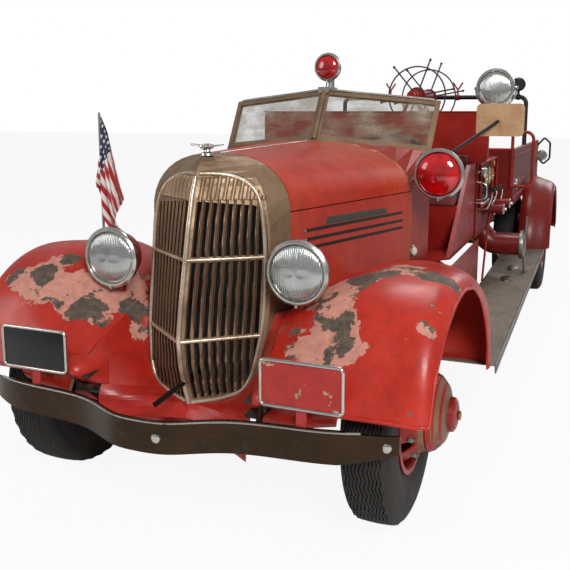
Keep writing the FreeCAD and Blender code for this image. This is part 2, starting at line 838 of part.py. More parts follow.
def shell_station(z):
    """Ridge station, face half width and face edge station of the grille shell at height z."""
    table = [
        (498.0, -362.0, 42.0, -340.0),
        (520.0, -370.0, 178.0, -292.0),
        (545.0, -379.0, 226.0, -272.0),
        (578.0, -391.0, 248.0, -259.0),
        (604.0, -402.0, 255.0, -252.0),
        (691.0, -426.0, 268.0, -232.0),
        (795.0, -436.0, 285.0, -205.0),
        (917.0, -415.0, 290.0, -180.0),
        (1121.0, -367.0, 286.0, -158.0),
        (1230.0, -341.0, 280.0, -155.0),
        (1310.0, -318.0, 266.0, -153.0),
        (1360.0, -305.0, 252.0, -149.0),
        (1400.0, -290.0, 234.0, -142.0),
        (1432.0, -276.0, 210.0, -135.0),
        (1460.0, -259.0, 180.0, -128.0),
        (1482.0, -242.0, 147.0, -125.0),
        (1500.0, -225.0, 110.0, -124.0),
        (1516.0, -204.0, 70.0, -123.0),
        (HOOD_FRONT_TOP, -180.0, 30.0, -122.0),
    ]
    if z <= table[0][0]:
        return table[0][1:]
    for low, high in zip(table, table[1:]):
        if z <= high[0]:
            t = (z - low[0]) / (high[0] - low[0])
            return tuple(a + (b - a) * t for a, b in zip(low[1:], high[1:]))
    return table[-1][1:]


def hood_half_at(z, half, top):
    """Half width of the hood's section at height z."""
    if z <= HOOD_SEAM:
        return half
    rise = min(1.0, (z - HOOD_SEAM) / (top - HOOD_SEAM))
    return half * (1 - rise**HOOD_RISE_POWER) ** (1 / HOOD_WIDTH_POWER)


def shell_section(z, inset, lift=0.0):
    """Plan outline of the shell at height z: nose ridge, face edges and the returns to the hood."""
    ridge, half, edge = shell_station(z)
    back = max(hood_half_at(z, HOOD_FRONT_HALF, HOOD_FRONT_TOP), 45.0)
    if z < 700:
        back = half + 40
    y = front(0)
    rear_y = y + SHELL_REAR + (30 if inset else 0)
    outline = [
        (0.0, y + ridge + inset * 1.6),
        (half - inset, y + edge + inset * 0.6),
        (back - inset, rear_y),
    ]
    left = [(-x, yy) for x, yy in reversed(outline[1:])]
    return [Vector(x, yy, z + lift) for x, yy in outline + left]


def shell_heights():
    """Heights of the shell's plan sections."""
    low = (498.0, 520.0, 545.0, 578.0, 604.0, 691.0, 795.0, 917.0, 1020.0, 1121.0, 1230.0, 1310.0)
    return (*low, 1360.0, 1400.0, 1432.0, 1460.0, 1482.0, 1500.0, 1516.0, HOOD_FRONT_TOP)


def shell_block():
    """The grille shell's outer form, filled."""
    return faceted([shell_section(z, 0.0) for z in shell_heights()])


def grille_slots():
    """Cutters for the open slots, between the bars and clear of the two cross bars."""
    y0 = front(-600)
    depth = Vector(0, 600 + SHELL_REAR + 100, 0)
    pitch = (shell_station(917.0)[1] - FACE_FRAME - 8) / (SLOT_COUNT + 0.5)
    window = [Vector(188, y0, 556)]
    for z in (600.0, 691.0, 795.0, 917.0, 1121.0, 1310.0):
        window.append(Vector(shell_station(z)[1] - FACE_FRAME, y0, z))
    window.append(Vector(shell_station(SLOT_TOP)[1] - FACE_FRAME - 14, y0, SLOT_TOP - 22))
    window.append(Vector(0, y0, SLOT_TOP))
    window.append(Vector(0, y0, 524))
    face = prism(window, depth)
    bars = []
    for i in range(SLOT_COUNT):
        x = 10 + pitch * (i + 0.5) - SLOT_WIDTH / 2 + 4
        bars.append(box(x, x + SLOT_WIDTH, y0, y0 + depth.y, 500, SLOT_TOP + 20))
    slots = face.common(Part.makeCompound(bars))
    for z in CROSS_BARS:
        half = CROSS_BAR_HEIGHT / 2
        slots = slots.cut(box(0, 400, y0 - 1, y0 + depth.y + 1, z - half, z + half))
    return slots


def grille_shell():
    """The V-shaped grille shell with its open upright bars and cross bars."""
    heights = shell_heights()
    outer = shell_block()
    inner_heights = (*heights[:-2], HOOD_FRONT_TOP - 14)
    inner = faceted([shell_section(z, SHELL_WALL, -1.0 if z == heights[0] else 0.0) for z in inner_heights])
    shell = outer.cut(inner)
    slots = grille_slots()
    shell = shell.cut(slots).cut(mirrored(slots))
    back = Vector(0, front(ENGINE_FRONT), ENGINE_BOTTOM + 40)
    nose = Vector(0, front(-CRANK_REACH), ENGINE_BOTTOM - 6)
    return shell.cut(cylinder(CRANK_RADIUS + 3, back, nose))


def hood_points(half, top, y, skin):
    """Outer or inner points of a hood section, from the crown to the side seam."""
    pts = [(0.0, y, top - skin)]
    for degrees in (4, 14, 26, 40, 54, 66, 76, 84, 90):
        a = math.radians(degrees)
        x = (half - skin) * math.sin(a) ** (2 / HOOD_WIDTH_POWER)
        z = HOOD_SEAM + (top - skin - HOOD_SEAM) * math.cos(a) ** (2 / HOOD_RISE_POWER)
        pts.append((x, y, z))
    return pts


def hood_half(side):
    """One hinged top half of the hood."""
    wires = []
    for station, half, top in (
        (HOOD_FRONT, HOOD_FRONT_HALF, HOOD_FRONT_TOP),
        (HOOD_REAR, HOOD_REAR_HALF, HOOD_REAR_TOP),
    ):
        y = front(station)
        wires.append(skin_section(hood_points(half, top, y, 0.0), hood_points(half, top, y, HOOD_SKIN)))
    whole = loft(wires)
    half = whole.common(box(HINGE_ROD_X, 2000, front(HOOD_FRONT) - 10, front(HOOD_REAR) + 10, 0, 3000))
    tubes = []
    for start, end in hinge_runs():
        tubes.append(cylinder(HINGE_TUBE_RADIUS, hinge_point(start), hinge_point(end)))
    lid = fused([half, *tubes])
    ends = (hinge_point(HOOD_FRONT - 40), hinge_point(HOOD_REAR + 40))
    lid = lid.cut(cylinder(HINGE_ROD_RADIUS + RUNNING_GAP, *ends))
    for station in hinge_tabs():
        y = front(station)
        tab = HINGE_TAB / 2 + 1
        reach = HINGE_ROD_X + HINGE_TUBE_RADIUS
        lid = lid.cut(box(0, reach, y - tab, y + tab, HOOD_FRONT_TOP - 60, HOOD_REAR_TOP + 20))
    return lid if side > 0 else mirrored(lid)


def hinge_point(station):
    """A point on the left hinge rod's axis at a station."""
    slope = (HOOD_REAR_TOP - HOOD_FRONT_TOP) / (HOOD_REAR - HOOD_FRONT)
    z = HOOD_FRONT_TOP - HINGE_DROP + slope * (station - HOOD_FRONT)
    return Vector(HINGE_ROD_X, front(station), z)


def hinge_tabs():
    """Stations of the tabs that hold the hinge rods."""
    ends = (HOOD_FRONT + 20, HOOD_REAR - 20)
    return [ends[0] + (ends[1] - ends[0]) * i / 3 for i in range(4)]


def hinge_runs():
    """Start and end stations of the lid's tubes, between the tabs."""
    tabs = hinge_tabs()
    reach = HINGE_TAB / 2 + 1
    return [(a + reach, b - reach) for a, b in zip(tabs, tabs[1:])]


def hood_hinge():
    """The fixed strip along the middle with the two rods that the hood halves turn on."""
    y0 = front(SHELL_REAR)
    y1 = front(HOOD_REAR + HOOD_GAP)
    slope = (HOOD_REAR_TOP - HOOD_FRONT_TOP) / (HOOD_REAR - HOOD_FRONT)
    strip = prism(
        [
            Vector(-HINGE_HALF, y0, HOOD_FRONT_TOP - 12),
            Vector(HINGE_HALF, y0, HOOD_FRONT_TOP - 12),
            Vector(HINGE_HALF, y0, HOOD_FRONT_TOP),
            Vector(-HINGE_HALF, y0, HOOD_FRONT_TOP),
        ],
        Vector(0, y1 - y0, slope * (y1 - y0)),
    )
    pieces = [strip]
    rod = cylinder(HINGE_ROD_RADIUS, hinge_point(HOOD_FRONT + 12), hinge_point(HOOD_REAR - 12))
    for station in hinge_tabs():
        at = hinge_point(station)
        y0 = at.y - HINGE_TAB / 2
        y1 = at.y + HINGE_TAB / 2
        pieces.append(box(-HINGE_ROD_X, HINGE_ROD_X, y0, y1, at.z - 5.5, at.z + 5.5))
        for x in (-HINGE_ROD_X, HINGE_ROD_X):
            pieces.append(cylinder(5.5, Vector(x, y0, at.z), Vector(x, y1, at.z)))
    return fused([*pieces, rod, mirrored(rod)])


def hood_side():
    """One fixed hood side panel, from the grille shell to the cowl."""
    top = HOOD_SEAM - HOOD_GAP
    y0 = front(SHELL_REAR)
    y1 = front(HOOD_REAR + HOOD_GAP)
    plan = [
        Vector(HOOD_FRONT_HALF, y0, HOOD_BOTTOM),
        Vector(HOOD_REAR_HALF, y1, HOOD_BOTTOM),
        Vector(HOOD_REAR_HALF - HOOD_SKIN, y1, HOOD_BOTTOM),
        Vector(HOOD_FRONT_HALF - HOOD_SKIN, y0, HOOD_BOTTOM),
    ]
    panel = prism(plan, Vector(0, 0, top - HOOD_BOTTOM))
    return panel


def cowl_section(y, half, top, shoulder, inset):
    """The cowl's outline across the body at one station."""
    h = half - inset
    t = top - inset
    s = shoulder - inset
    right = [(h, FLOOR_TOP - inset)]
    for degrees in (90, 80, 68, 54, 38, 20, 0):
        a = math.radians(degrees)
        rise = math.cos(a) ** (2 / HOOD_RISE_POWER)
        right.append((h * math.sin(a) ** (2 / HOOD_WIDTH_POWER), s + (t - s) * rise))
    left = [(-x, z) for x, z in reversed(right[:-1])]
    return [Vector(x, y, z) for x, z in right + left]


def cowl_outer():
    """The cowl's outside as a filled solid, which the windshield seats on."""
    return faceted(
        [
            cowl_section(front(HOOD_REAR + HOOD_GAP), HOOD_REAR_HALF, HOOD_REAR_TOP, HOOD_SEAM, 0.0),
            cowl_section(front(COWL_REAR), COWL_REAR_HALF, COWL_REAR_TOP, COWL_SHOULDER, 0.0),
        ]
    )


def cowl():
    """The cowl: firewall, curved top, sides and dash panel, open towards the cab."""
    outer = cowl_outer()
    y0 = front(HOOD_REAR + HOOD_GAP)
    inner = faceted(
        [
            cowl_section(y0 + COWL_SKIN, HOOD_REAR_HALF, HOOD_REAR_TOP, HOOD_SEAM, COWL_SKIN),
            cowl_section(front(COWL_REAR) + 1, COWL_REAR_HALF, COWL_REAR_TOP, COWL_SHOULDER, COWL_SKIN),
        ]
    )
    skin = outer.cut(inner)
    y1 = front(COWL_REAR)
    dash = outer.common(
        box(-COWL_REAR_HALF, COWL_REAR_HALF, y1 - 12, y1, COWL_SHOULDER - DASH_DEPTH, COWL_REAR_TOP + 5)
    )
    return fused([skin, dash])


def pane_frame():
    """The windshield's three axes on its left pane: base edge, rise and outward normal, all as vectors."""
    base = Vector(SHIELD_BASE[0], front(SHIELD_BASE[1]), SHIELD_BASE[2])
    corner = Vector(SHIELD_CORNER[0], front(SHIELD_CORNER[1]), SHIELD_CORNER[2])
    top = Vector(SHIELD_TOP[0], front(SHIELD_TOP[1]), SHIELD_TOP[2])
    run = corner - base
    rise = top - base
    normal = run.cross(rise).normalize()
    return base, run, rise, normal


def pane_quad(inset):
    """The four corners of the left pane, drawn in by inset from each edge."""
    base, run, rise, _ = pane_frame()
    across = Vector(run).normalize()
    up = Vector(rise).normalize()
    wide = run * SHIELD_FLARE
    return [
        base + across * inset + up * inset,
        base + run - across * inset + up * inset,
        base + rise + wide - across * inset - up * inset,
        base + rise + across * inset - up * inset,
    ]


def windshield_frame():
    """The V-shaped windshield frame, two open panes joined at a centre post."""
    normal = pane_frame()[3]
    outer = prism(pane_quad(0.0), normal * -SHIELD_THICK)
    window = prism([p + normal * 5 for p in pane_quad(SHIELD_BORDER)], normal * (-SHIELD_THICK - 10))
    base, run, rise, _ = pane_frame()
    drop = Vector(rise).normalize() * -SHIELD_SKIRT
    skirt = prism([base + drop, base + run + drop, base + run, base], normal * -SHIELD_THICK)
    left = fused([outer, skirt]).cut(window)
    whole = fused([left, mirrored(left), front_post()])
    return trimmed(whole, cowl_outer())


def front_post():
    """The round-nosed centre post between the two panes."""
    base = Vector(SHIELD_BASE[0], front(SHIELD_BASE[1]), SHIELD_BASE[2])
    top = Vector(SHIELD_TOP[0], front(SHIELD_TOP[1]), SHIELD_TOP[2])
    lean = Vector(0, 4, 0)
    return cylinder(POST_RADIUS, base + lean, top + lean)


def windshield_glass():
    """The two panes."""
    normal = pane_frame()[3]
    lift = normal * (-(SHIELD_THICK - GLASS_THICK) / 2)
    pane = prism([p + lift for p in pane_quad(SHIELD_BORDER + SEAT_GAP)], normal * -GLASS_THICK)
    return both_sides(pane)


def cab_floor():
    """Cab floor with the seat riser box, on the frame."""
    y0 = front(HOOD_REAR + HOOD_GAP)
    y1 = front(BACK_PANEL_FRONT)
    floor = prism(
        [
            Vector(-HOOD_REAR_HALF, y0, FLOOR_TOP),
            Vector(HOOD_REAR_HALF, y0, FLOOR_TOP),
            Vector(COWL_REAR_HALF, front(COWL_REAR), FLOOR_TOP),
            Vector(CAB_HALF, front(SIDE_LOW_STATION), FLOOR_TOP),
            Vector(CAB_HALF, y1, FLOOR_TOP),
            Vector(-CAB_HALF, y1, FLOOR_TOP),
            Vector(-CAB_HALF, front(SIDE_LOW_STATION), FLOOR_TOP),
            Vector(-COWL_REAR_HALF, front(COWL_REAR), FLOOR_TOP),
        ],
        Vector(0, 0, -FLOOR_THICK),
    )
    inner_half = CAB_HALF - CAB_SIDE_THICK
    riser = box(-inner_half, inner_half, front(SEAT_FRONT), front(SEAT_FRONT) + 20, FLOOR_TOP, SEAT_RISER_TOP)
    shelf = box(-inner_half, inner_half, front(SEAT_FRONT), y1, SEAT_RISER_TOP - 15, SEAT_RISER_TOP)
    sills = []
    for side in (-1, 1):
        xs = sorted((side * (RAIL_HALF - 60), side * RAIL_HALF))
        sills.append(box(*xs, y0, y1, RAIL_BOTTOM + RAIL_DEPTH, FLOOR_TOP - FLOOR_THICK))
    return fused([floor, riser, shelf, *sills])


def cab_side():
    """One cab side behind the step-in opening, with its slanted front edge."""
    x = CAB_HALF - CAB_SIDE_THICK
    y1 = front(BACK_PANEL_FRONT)
    outline = [
        Vector(x, front(SIDE_LOW_STATION), FLOOR_TOP),
        Vector(x, y1, FLOOR_TOP),
        Vector(x, y1, SIDE_TOP),
        Vector(x, front(SIDE_TOP_STATION), SIDE_TOP),
    ]
    return prism(outline, Vector(CAB_SIDE_THICK, 0, 0))


def cab_body():
    """The tall panel behind the seat and the two cab sides."""
    y = front(BACK_PANEL_FRONT)
    upper = box(-BACK_PANEL_HALF, BACK_PANEL_HALF, y, y + BACK_PANEL_THICK, BACK_PANEL_LOW, BACK_PANEL_TOP)
    edges = [e for e in upper.Edges if abs(e.tangentAt(e.FirstParameter).y) > 0.9]
    upper = upper.makeFillet(40, edges)
    lower = box(-CAB_HALF, CAB_HALF, y, y + BACK_PANEL_THICK - 20, FLOOR_TOP, BACK_PANEL_LOW + 60)
    side = cab_side()
    return fused([upper, lower, side, mirrored(side)])


def seat_cushion():
    """The bench cushion, a plain soft solid."""
    half = CAB_HALF - CAB_SIDE_THICK - 10
    y0 = front(SEAT_FRONT)
    low = SEAT_RISER_TOP + SEAT_GAP
    high = SEAT_RISER_TOP + CUSHION_THICK
    pad = box(-half, half, y0 - 10, front(BACK_PANEL_FRONT) - SEAT_GAP, low, high)
    return pad.makeFillet(35, pad.Edges)


def seat_back_pad():
    """The bench's back cushion, a plain soft solid."""
    half = CAB_HALF - CAB_SIDE_THICK - 10
    low = SEAT_RISER_TOP + CUSHION_THICK + 1
    pad = box(-half, half, front(SEAT_BACK_FRONT), front(BACK_PANEL_FRONT) - SEAT_GAP, low, SEAT_BACK_TOP)
    return pad.makeFillet(35, pad.Edges)


def column_axis():
    """Foot, head and direction of the steering column."""
    foot = Vector(COLUMN_X, front(COLUMN_FOOT[0]), COLUMN_FOOT[1])
    head = Vector(COLUMN_X, front(COLUMN_HEAD[0]), COLUMN_HEAD[1])
    return foot, head, (head - foot).normalize()


def steering_column():
    """Column tube with the bare shaft end that carries the steering wheel."""
    foot, head, way = column_axis()
    tube = cylinder(COLUMN_RADIUS, foot, head)
    shaft = cylinder(COLUMN_SHAFT, head - way * 5, head + way * 40)
    flange = cylinder(45, foot, foot + way * 12)
    return fused([tube, shaft, flange]).cut(
        box(COLUMN_X - 100, COLUMN_X + 100, foot.y - 100, foot.y + 100, FLOOR_TOP - 80, FLOOR_TOP)
    )


def steering_wheel():
    """Rim, four spokes and a bored hub."""
    _, head, way = column_axis()
    centre = head + way * 26
    rim = Part.makeTorus(WHEEL_RIM_RADIUS, WHEEL_RIM_TUBE, centre, way)
    hub = cylinder(32, head + way * 1.5, head + way * 52)
    bore = cylinder(COLUMN_SHAFT + RUNNING_GAP, head, head + way * 41)
    side = way.cross(ACROSS).normalize()
    spokes = []
    for i in range(4):
        angle = math.pi / 4 + i * math.pi / 2
        out = ACROSS * math.cos(angle) + side * math.sin(angle)
        spokes.append(cylinder(9, centre + out * 20, centre + out * (WHEEL_RIM_RADIUS - 4)))
    return fused([rim, hub, *spokes]).cut(bore)


def polar_point(x, r, phi, axle_y):
    """A point at radius r round an axle, phi degrees from straight ahead over the top."""
    a = math.radians(phi)
    return (x, axle_y - r * math.cos(a), TYRE_RADIUS + r * math.sin(a))


def fender_section(rows, phi, axle_y):
    """A fender's closed section at one angle: rows are (x, radius) of its outer face."""
    outer = [polar_point(x, r, phi, axle_y) for x, r in rows]
    count = len(rows) - 1
    inner = []
    for i, (x, r) in enumerate(rows):
        lean = FENDER_SKIN * i / count
        inner.append(polar_point(x - lean * 0.9, r - FENDER_SKIN, phi, axle_y))
    return skin_section(outer, inner)


def front_fender(side):
    """A front fender: a pontoon over the wheel whose inner edge runs along the hood."""
    y = front(0)
    sections = [
        (15.0, [(430, 555), (600, 556), (760, 552), (920, 545), (1010, 538), (1034, 524)]),
        (35.0, [(385, 500), (560, 548), (760, 563), (920, 560), (1015, 549), (1036, 526)]),
        (55.0, [(362, 440), (540, 530), (760, 590), (920, 586), (1020, 562), (1044, 530)]),
        (75.0, [(358, 425), (540, 535), (760, 598), (920, 594), (1028, 566), (1054, 530)]),
        (90.0, [(372, 425), (550, 535), (760, 597), (920, 594), (1035, 567), (1061, 530)]),
        (110.0, [(398, 460), (580, 570), (760, 618), (930, 612), (1045, 576), (1071, 532)]),
        (130.0, [(450, 560), (620, 650), (780, 705), (940, 690), (1055, 620), (1081, 534)]),
        (148.0, [(530, 730), (680, 745), (820, 752), (960, 735), (1068, 665), (1090, 536)]),
        (163.0, [(600, 690), (740, 693), (860, 693), (980, 686), (1078, 640), (1096, 537)]),
        (180.0, [(640, 668), (770, 669), (880, 668), (990, 663), (1082, 630), (1098, 538)]),
    ]
    wires = [fender_section(rows, phi, y) for phi, rows in sections]
    fender = loft(wires, False).cut(below(BOARD_TOP))
    return fender if side > 0 else mirrored(fender)


def rear_fender(side):
    """A rear fender round the twin tyres."""
    y = rear(0)
    r = REAR_FENDER_RADIUS
    inner = HOSE_HALF + SEAT_GAP
    outer = REAR_FENDER_OUTER
    rows = [(inner, r), (inner + 140, r), (outer - 110, r - 8), (outer - 30, r - 38), (outer, r - 92)]
    wires = [fender_section(rows, phi, y) for phi in (0.0, 30.0, 60.0, 90.0, 120.0, 150.0, 172.0)]
    fender = loft(wires, False).cut(below(BOARD_TOP))
    return fender if side > 0 else mirrored(fender)


def running_board(side):
    """A running board with a turned-down edge and its two frame brackets."""
    y0 = front(BOARD_START)
    y1 = rear(-REAR_FENDER_RADIUS + 40)
    deck = box(BOARD_INNER, BOARD_OUTER, y0, y1, BOARD_TOP - 6, BOARD_TOP)
    pieces = [deck, box(BOARD_OUTER - 6, BOARD_OUTER, y0, y1, BOARD_TOP - BOARD_THICK - 12, BOARD_TOP)]
    for y in (y0 + 350, (y0 + y1) / 2, y1 - 350):
        low = BOARD_TOP - BOARD_THICK
        pieces.append(box(BOARD_INNER - 30, BOARD_OUTER - 40, y - 30, y + 30, low, BOARD_TOP - 6))
        arm = prism(
            [
                Vector(RAIL_HALF, y - 30, RAIL_BOTTOM + 20),
                Vector(RAIL_HALF, y - 30, RAIL_BOTTOM + 60),
                Vector(BOARD_INNER, y - 30, BOARD_TOP - 6),
                Vector(BOARD_INNER, y - 30, BOARD_TOP - BOARD_THICK),
            ],
            Vector(0, 60, 0),
        )
        pieces.append(arm)
    board = fused(pieces)
    return board if side > 0 else mirrored(board)


def side_valances():
    """The sheet between the body and each running board."""
    x = BOARD_INNER - SEAT_GAP
    y0 = front(BOARD_START + 300)
    y1 = front(BACK_PANEL_FRONT)
    sheet = box(x - 6, x, y0, y1, BOARD_TOP, FLOOR_TOP - FLOOR_THICK)
    return both_sides(sheet)


def pump_front():
    """Station where the pump house meets the cab's back."""
    return BACK_PANEL_FRONT + BACK_PANEL_THICK


def suction_pipe(side, radius):
    """One suction pipe: out over the rail, down and out to its capped mouth."""
    y = front(SUCTION_STATION)
    points = [
        Vector(side * 100, y, SUCTION_HIGH),
        Vector(side * (RAIL_HALF + 190), y, SUCTION_HIGH),
        Vector(side * (PUMP_HALF + 30), y, SUCTION_Z),
        Vector(side * SUCTION_REACH, y, SUCTION_Z),
    ]
    return bent_bar(points, radius, SUCTION_RADIUS + 25)


def pump_house():
    """The open-bottomed box between cab and hose body, pierced where the suction pipes pass."""
    y0 = front(pump_front())
    y1 = y0 + PUMP_LENGTH
    outer = box(-PUMP_HALF, PUMP_HALF, y0, y1, RAIL_BOTTOM + RAIL_DEPTH, PUMP_TOP)
    x = PUMP_HALF - PUMP_WALL
    inner = box(-x, x, y0 + PUMP_WALL, y1 - PUMP_WALL, 0, PUMP_TOP - PUMP_WALL)
    house = outer.cut(inner)
    for side in (-1, 1):
        house = house.cut(suction_pipe(side, SUCTION_RADIUS + SEAT_GAP))
        for station in DISCHARGE_STATIONS:
            at = Vector(side * (PUMP_HALF - 40), front(station), DISCHARGE_Z)
            house = house.cut(cylinder(DISCHARGE_RADIUS + 8 + SEAT_GAP, at, at + Vector(side * 80, 0, 0)))
    return house


def pump():
    """The pump body with its suction pipes and discharge outlets."""
    y = front(SUCTION_STATION)
    pieces = [box(-250, 250, y - 300, y + 240, RAIL_BOTTOM + 60, SUCTION_HIGH + 110)]
    for side in (-1, 1):
        pieces.append(suction_pipe(side, SUCTION_RADIUS))
        start = Vector(side * (SUCTION_REACH - 30), y, SUCTION_Z)
        pieces.append(cylinder(SUCTION_RADIUS + 20, start, start + Vector(side * 30, 0, 0)))
        for station in DISCHARGE_STATIONS:
            at = Vector(0, front(station), DISCHARGE_Z)
            out = ACROSS * side
            thread = DISCHARGE_REACH - THREAD_LENGTH
            pieces.append(cylinder(DISCHARGE_RADIUS + 8, at + out * 150, at + out * (PUMP_HALF + 15)))
            pieces.append(cylinder(DISCHARGE_RADIUS - 5, at + out * PUMP_HALF, at + out * (thread + 5)))
            pieces.append(cylinder(DISCHARGE_RADIUS, at + out * thread, at + out * DISCHARGE_REACH))
    return fused(pieces)


def hose_body():
    """The open hose bed: floor, sides and front bulkhead."""
    y0 = front(pump_front()) + PUMP_LENGTH
    y1 = rear(HOSE_REAR)
    outer = box(-HOSE_HALF, HOSE_HALF, y0, y1, HOSE_FLOOR - HOSE_WALL, HOSE_SIDE_TOP)
    x = HOSE_HALF - HOSE_WALL
    bed = box(-x, x, y0 + HOSE_WALL, y1 + 1, HOSE_FLOOR, HOSE_SIDE_TOP + 1)
    bed_cut = outer.cut(bed)
    sills = []
    for side in (-1, 1):
        xs = sorted((side * (RAIL_HALF - 60), side * RAIL_HALF))
        sills.append(box(*xs, y0, rear(RAIL_REAR), RAIL_BOTTOM + RAIL_DEPTH, HOSE_FLOOR - HOSE_WALL))
    return fused([bed_cut, *sills])


def reel_bearing(y):
    """Centre of the reel's axis at a station."""
    return Vector(0, front(y), REEL_Z)


def reel_shaft():
    """The reel's hub drum on its through shaft, with the hose swivel in front."""
    first, last = REEL_STATIONS
    ends = (reel_bearing(REEL_STAND_STATION - 60), reel_bearing(RACK_STATION + 8))
    return fused(
        [
            cylinder(REEL_HUB_RADIUS, reel_bearing(first - 40), reel_bearing(last + 40)),
            cylinder(REEL_SHAFT_RADIUS, *ends),
            cylinder(34, reel_bearing(REEL_STAND_STATION - 95), reel_bearing(REEL_STAND_STATION - 45)),
        ]
    )


def hose_reel():
    """The two rings of the empty hose reel, each on knobbed spokes."""
    rings = []
    for station in REEL_STATIONS:
        centre = reel_bearing(station)
        section = []
        for step in range(8):
            a = math.radians(22.5 + 45 * step)
            section.append((REEL_RING_TUBE * math.cos(a), REEL_RING_RADIUS + REEL_RING_TUBE * math.sin(a)))
        collar = [(-15, REEL_HUB_RADIUS - 10), (15, REEL_HUB_RADIUS - 10)]
        collar += [(15, REEL_HUB_RADIUS + 14), (-15, REEL_HUB_RADIUS + 14)]
        pieces = [turned(section, centre, ALONG), turned(collar, centre, ALONG)]
        for i in range(REEL_SPOKES):
            angle = math.radians(10 + 360 * i / REEL_SPOKES)
            out = Vector(math.cos(angle), 0, math.sin(angle))
            foot = centre + out * REEL_HUB_RADIUS
            pieces.append(cylinder(REEL_SPOKE_RADIUS, foot, centre + out * REEL_SPOKE_REACH))
            pieces.append(ball(REEL_KNOB_RADIUS, centre + out * REEL_SPOKE_REACH))
        back = centre - Vector(0, 60, 0)
        ahead = centre + Vector(0, 60, 0)
        rings.append(fused(pieces).cut(cylinder(REEL_HUB_RADIUS + SEAT_GAP, back, ahead)))
    return Part.makeCompound(rings)


def reel_stand():
    """The reel's front stand on the pump house roof."""
    y = front(REEL_STAND_STATION)
    pieces = [cylinder(45, Vector(0, y - 15, REEL_Z), Vector(0, y + 15, REEL_Z))]
    for side in (-1, 1):
        foot = Vector(side * 230, y, HOSE_SIDE_TOP - 22)
        pieces.append(cylinder(16, foot, Vector(side * 25, y, REEL_Z - 20)))
    x = HOSE_HALF - HOSE_WALL
    pieces.append(box(-x, x, y - 25, y + 25, HOSE_SIDE_TOP - 40, HOSE_SIDE_TOP - 15))
    bore = cylinder(REEL_SHAFT_RADIUS + RUNNING_GAP, Vector(0, y - 20, REEL_Z), Vector(0, y + 20, REEL_Z))
    return fused(pieces).cut(bore)


def rail_rack():
    """The black pipe rack over the hose body, with the reel's rear bearing."""
    y = front(RACK_STATION)
    foot = HOSE_SIDE_TOP
    bar = bent_bar(
        [
            Vector(-RACK_HALF, y, foot),
            Vector(-RACK_HALF, y, REEL_Z),
            Vector(RACK_HALF, y, REEL_Z),
            Vector(RACK_HALF, y, foot),
        ],
        RACK_RADIUS,
        RACK_BEND,
    )
    boss = cylinder(45, Vector(0, y - 25, REEL_Z), Vector(0, y + 25, REEL_Z))
    bore = cylinder(REEL_SHAFT_RADIUS + RUNNING_GAP, Vector(0, y - 30, REEL_Z), Vector(0, y + 12, REEL_Z))
    return fused([bar, boss]).cut(bore)


def bumper():
    """The formed spring bumper with its two irons back to the frame."""
    half = [(110, -728), (190, -692), (300, -640), (480, -606), (650, -590), (770, -562), (855, -524)]
    half.append((BUMPER_HALF, -476))
    plan = [(-x, d) for x, d in reversed(half)] + [(0, -FRONT_OVERHANG)] + half
    z0 = BUMPER_Z - BUMPER_HEIGHT / 2
    outer = [(x, front(d), z0) for x, d in plan]
    inner = [(x, front(d + BUMPER_THICK), z0) for x, d in plan]
    bar = Part.Face(skin_section(outer, inner)).extrude(Vector(0, 0, BUMPER_HEIGHT))
    for side in (-1, 1):
        for low in (-1, 1):
            z = BUMPER_Z + low * (BUMPER_HEIGHT / 2 + 1)
            tip = [
                Vector(side * (BUMPER_HALF - 210), front(-700), z),
                Vector(side * (BUMPER_HALF + 5), front(-700), BUMPER_Z + low * 34),
                Vector(side * (BUMPER_HALF + 5), front(-700), z),
            ]
            bar = bar.cut(prism(tip, Vector(0, 300, 0)))
    pieces = [bar]
    for side in (-1, 1):
        x = side * (RAIL_HALF - RAIL_WALL + 8)
        pieces.append(
            prism(
                [
                    Vector(x - 8, front(-606), BUMPER_Z - 30),
                    Vector(x - 8, front(-606), BUMPER_Z + 30),
                    Vector(x - 8, front(-HORN_REACH), HORN_TOP - RAIL_WALL),
                    Vector(x - 8, front(-HORN_REACH), HORN_BOTTOM + RAIL_WALL),
                ],
                Vector(16, 0, 0),
            )
        )
    return fused(pieces)


def headlamp(side):
    """A headlamp: bucket, rim and its stanchion on the fender catwalk."""
    at = Vector(side * LAMP_X, front(LAMP_STATION), LAMP_Z)
    r = LAMP_RADIUS
    bucket = turned(
        [(0, 0), (0, r), (22, r), (30, r - 8), (90, r - 28), (150, 55), (172, 0)],
        at,
        ALONG,
    )
    post = cylinder(20, at + Vector(0, 70, -60), at + Vector(0, 70, -330))
    return fused([bucket, trimmed(post, front_fender(side))])


def siren_lamp():
    """The large red warning lamp on the cowl's left side, with its bracket."""
    at = Vector(SIREN_AT[0], front(SIREN_AT[1]), SIREN_AT[2])
    r = SIREN_RADIUS
    bell = turned(
        [(0, 0), (0, r), (28, r), (40, r - 12), (120, r - 28), (180, 60), (200, 0)],
        at,
        ALONG,
    )
    arm = cylinder(14, at + Vector(-20, 150, -20), Vector(COWL_REAR_HALF - 22, at.y + 240, SIREN_AT[2] - 60))
    return fused([bell, trimmed(arm, cowl_outer())])


def beacon():
    """The forward-facing red beacon on the windshield's centre post."""
    at = Vector(BEACON_AT[0], front(BEACON_AT[1]), BEACON_AT[2])
    r = BEACON_RADIUS
    bell = turned(
        [(0, 0), (0, r), (16, r), (24, r - 8), (70, r - 16), (110, 34), (120, 0)],
        at,
        ALONG,
    )
    top = Vector(SHIELD_TOP[0], front(SHIELD_TOP[1]), SHIELD_TOP[2])
    post = cylinder(26, Vector(0, at.y + 45, BEACON_AT[2] - 40), Vector(0, at.y + 45, top.z + 10))
    foot = box(-34, 34, top.y - 20, at.y + 75, top.z - 20, top.z + 14)
    return trimmed(fused([bell, post, foot]), windshield_frame())


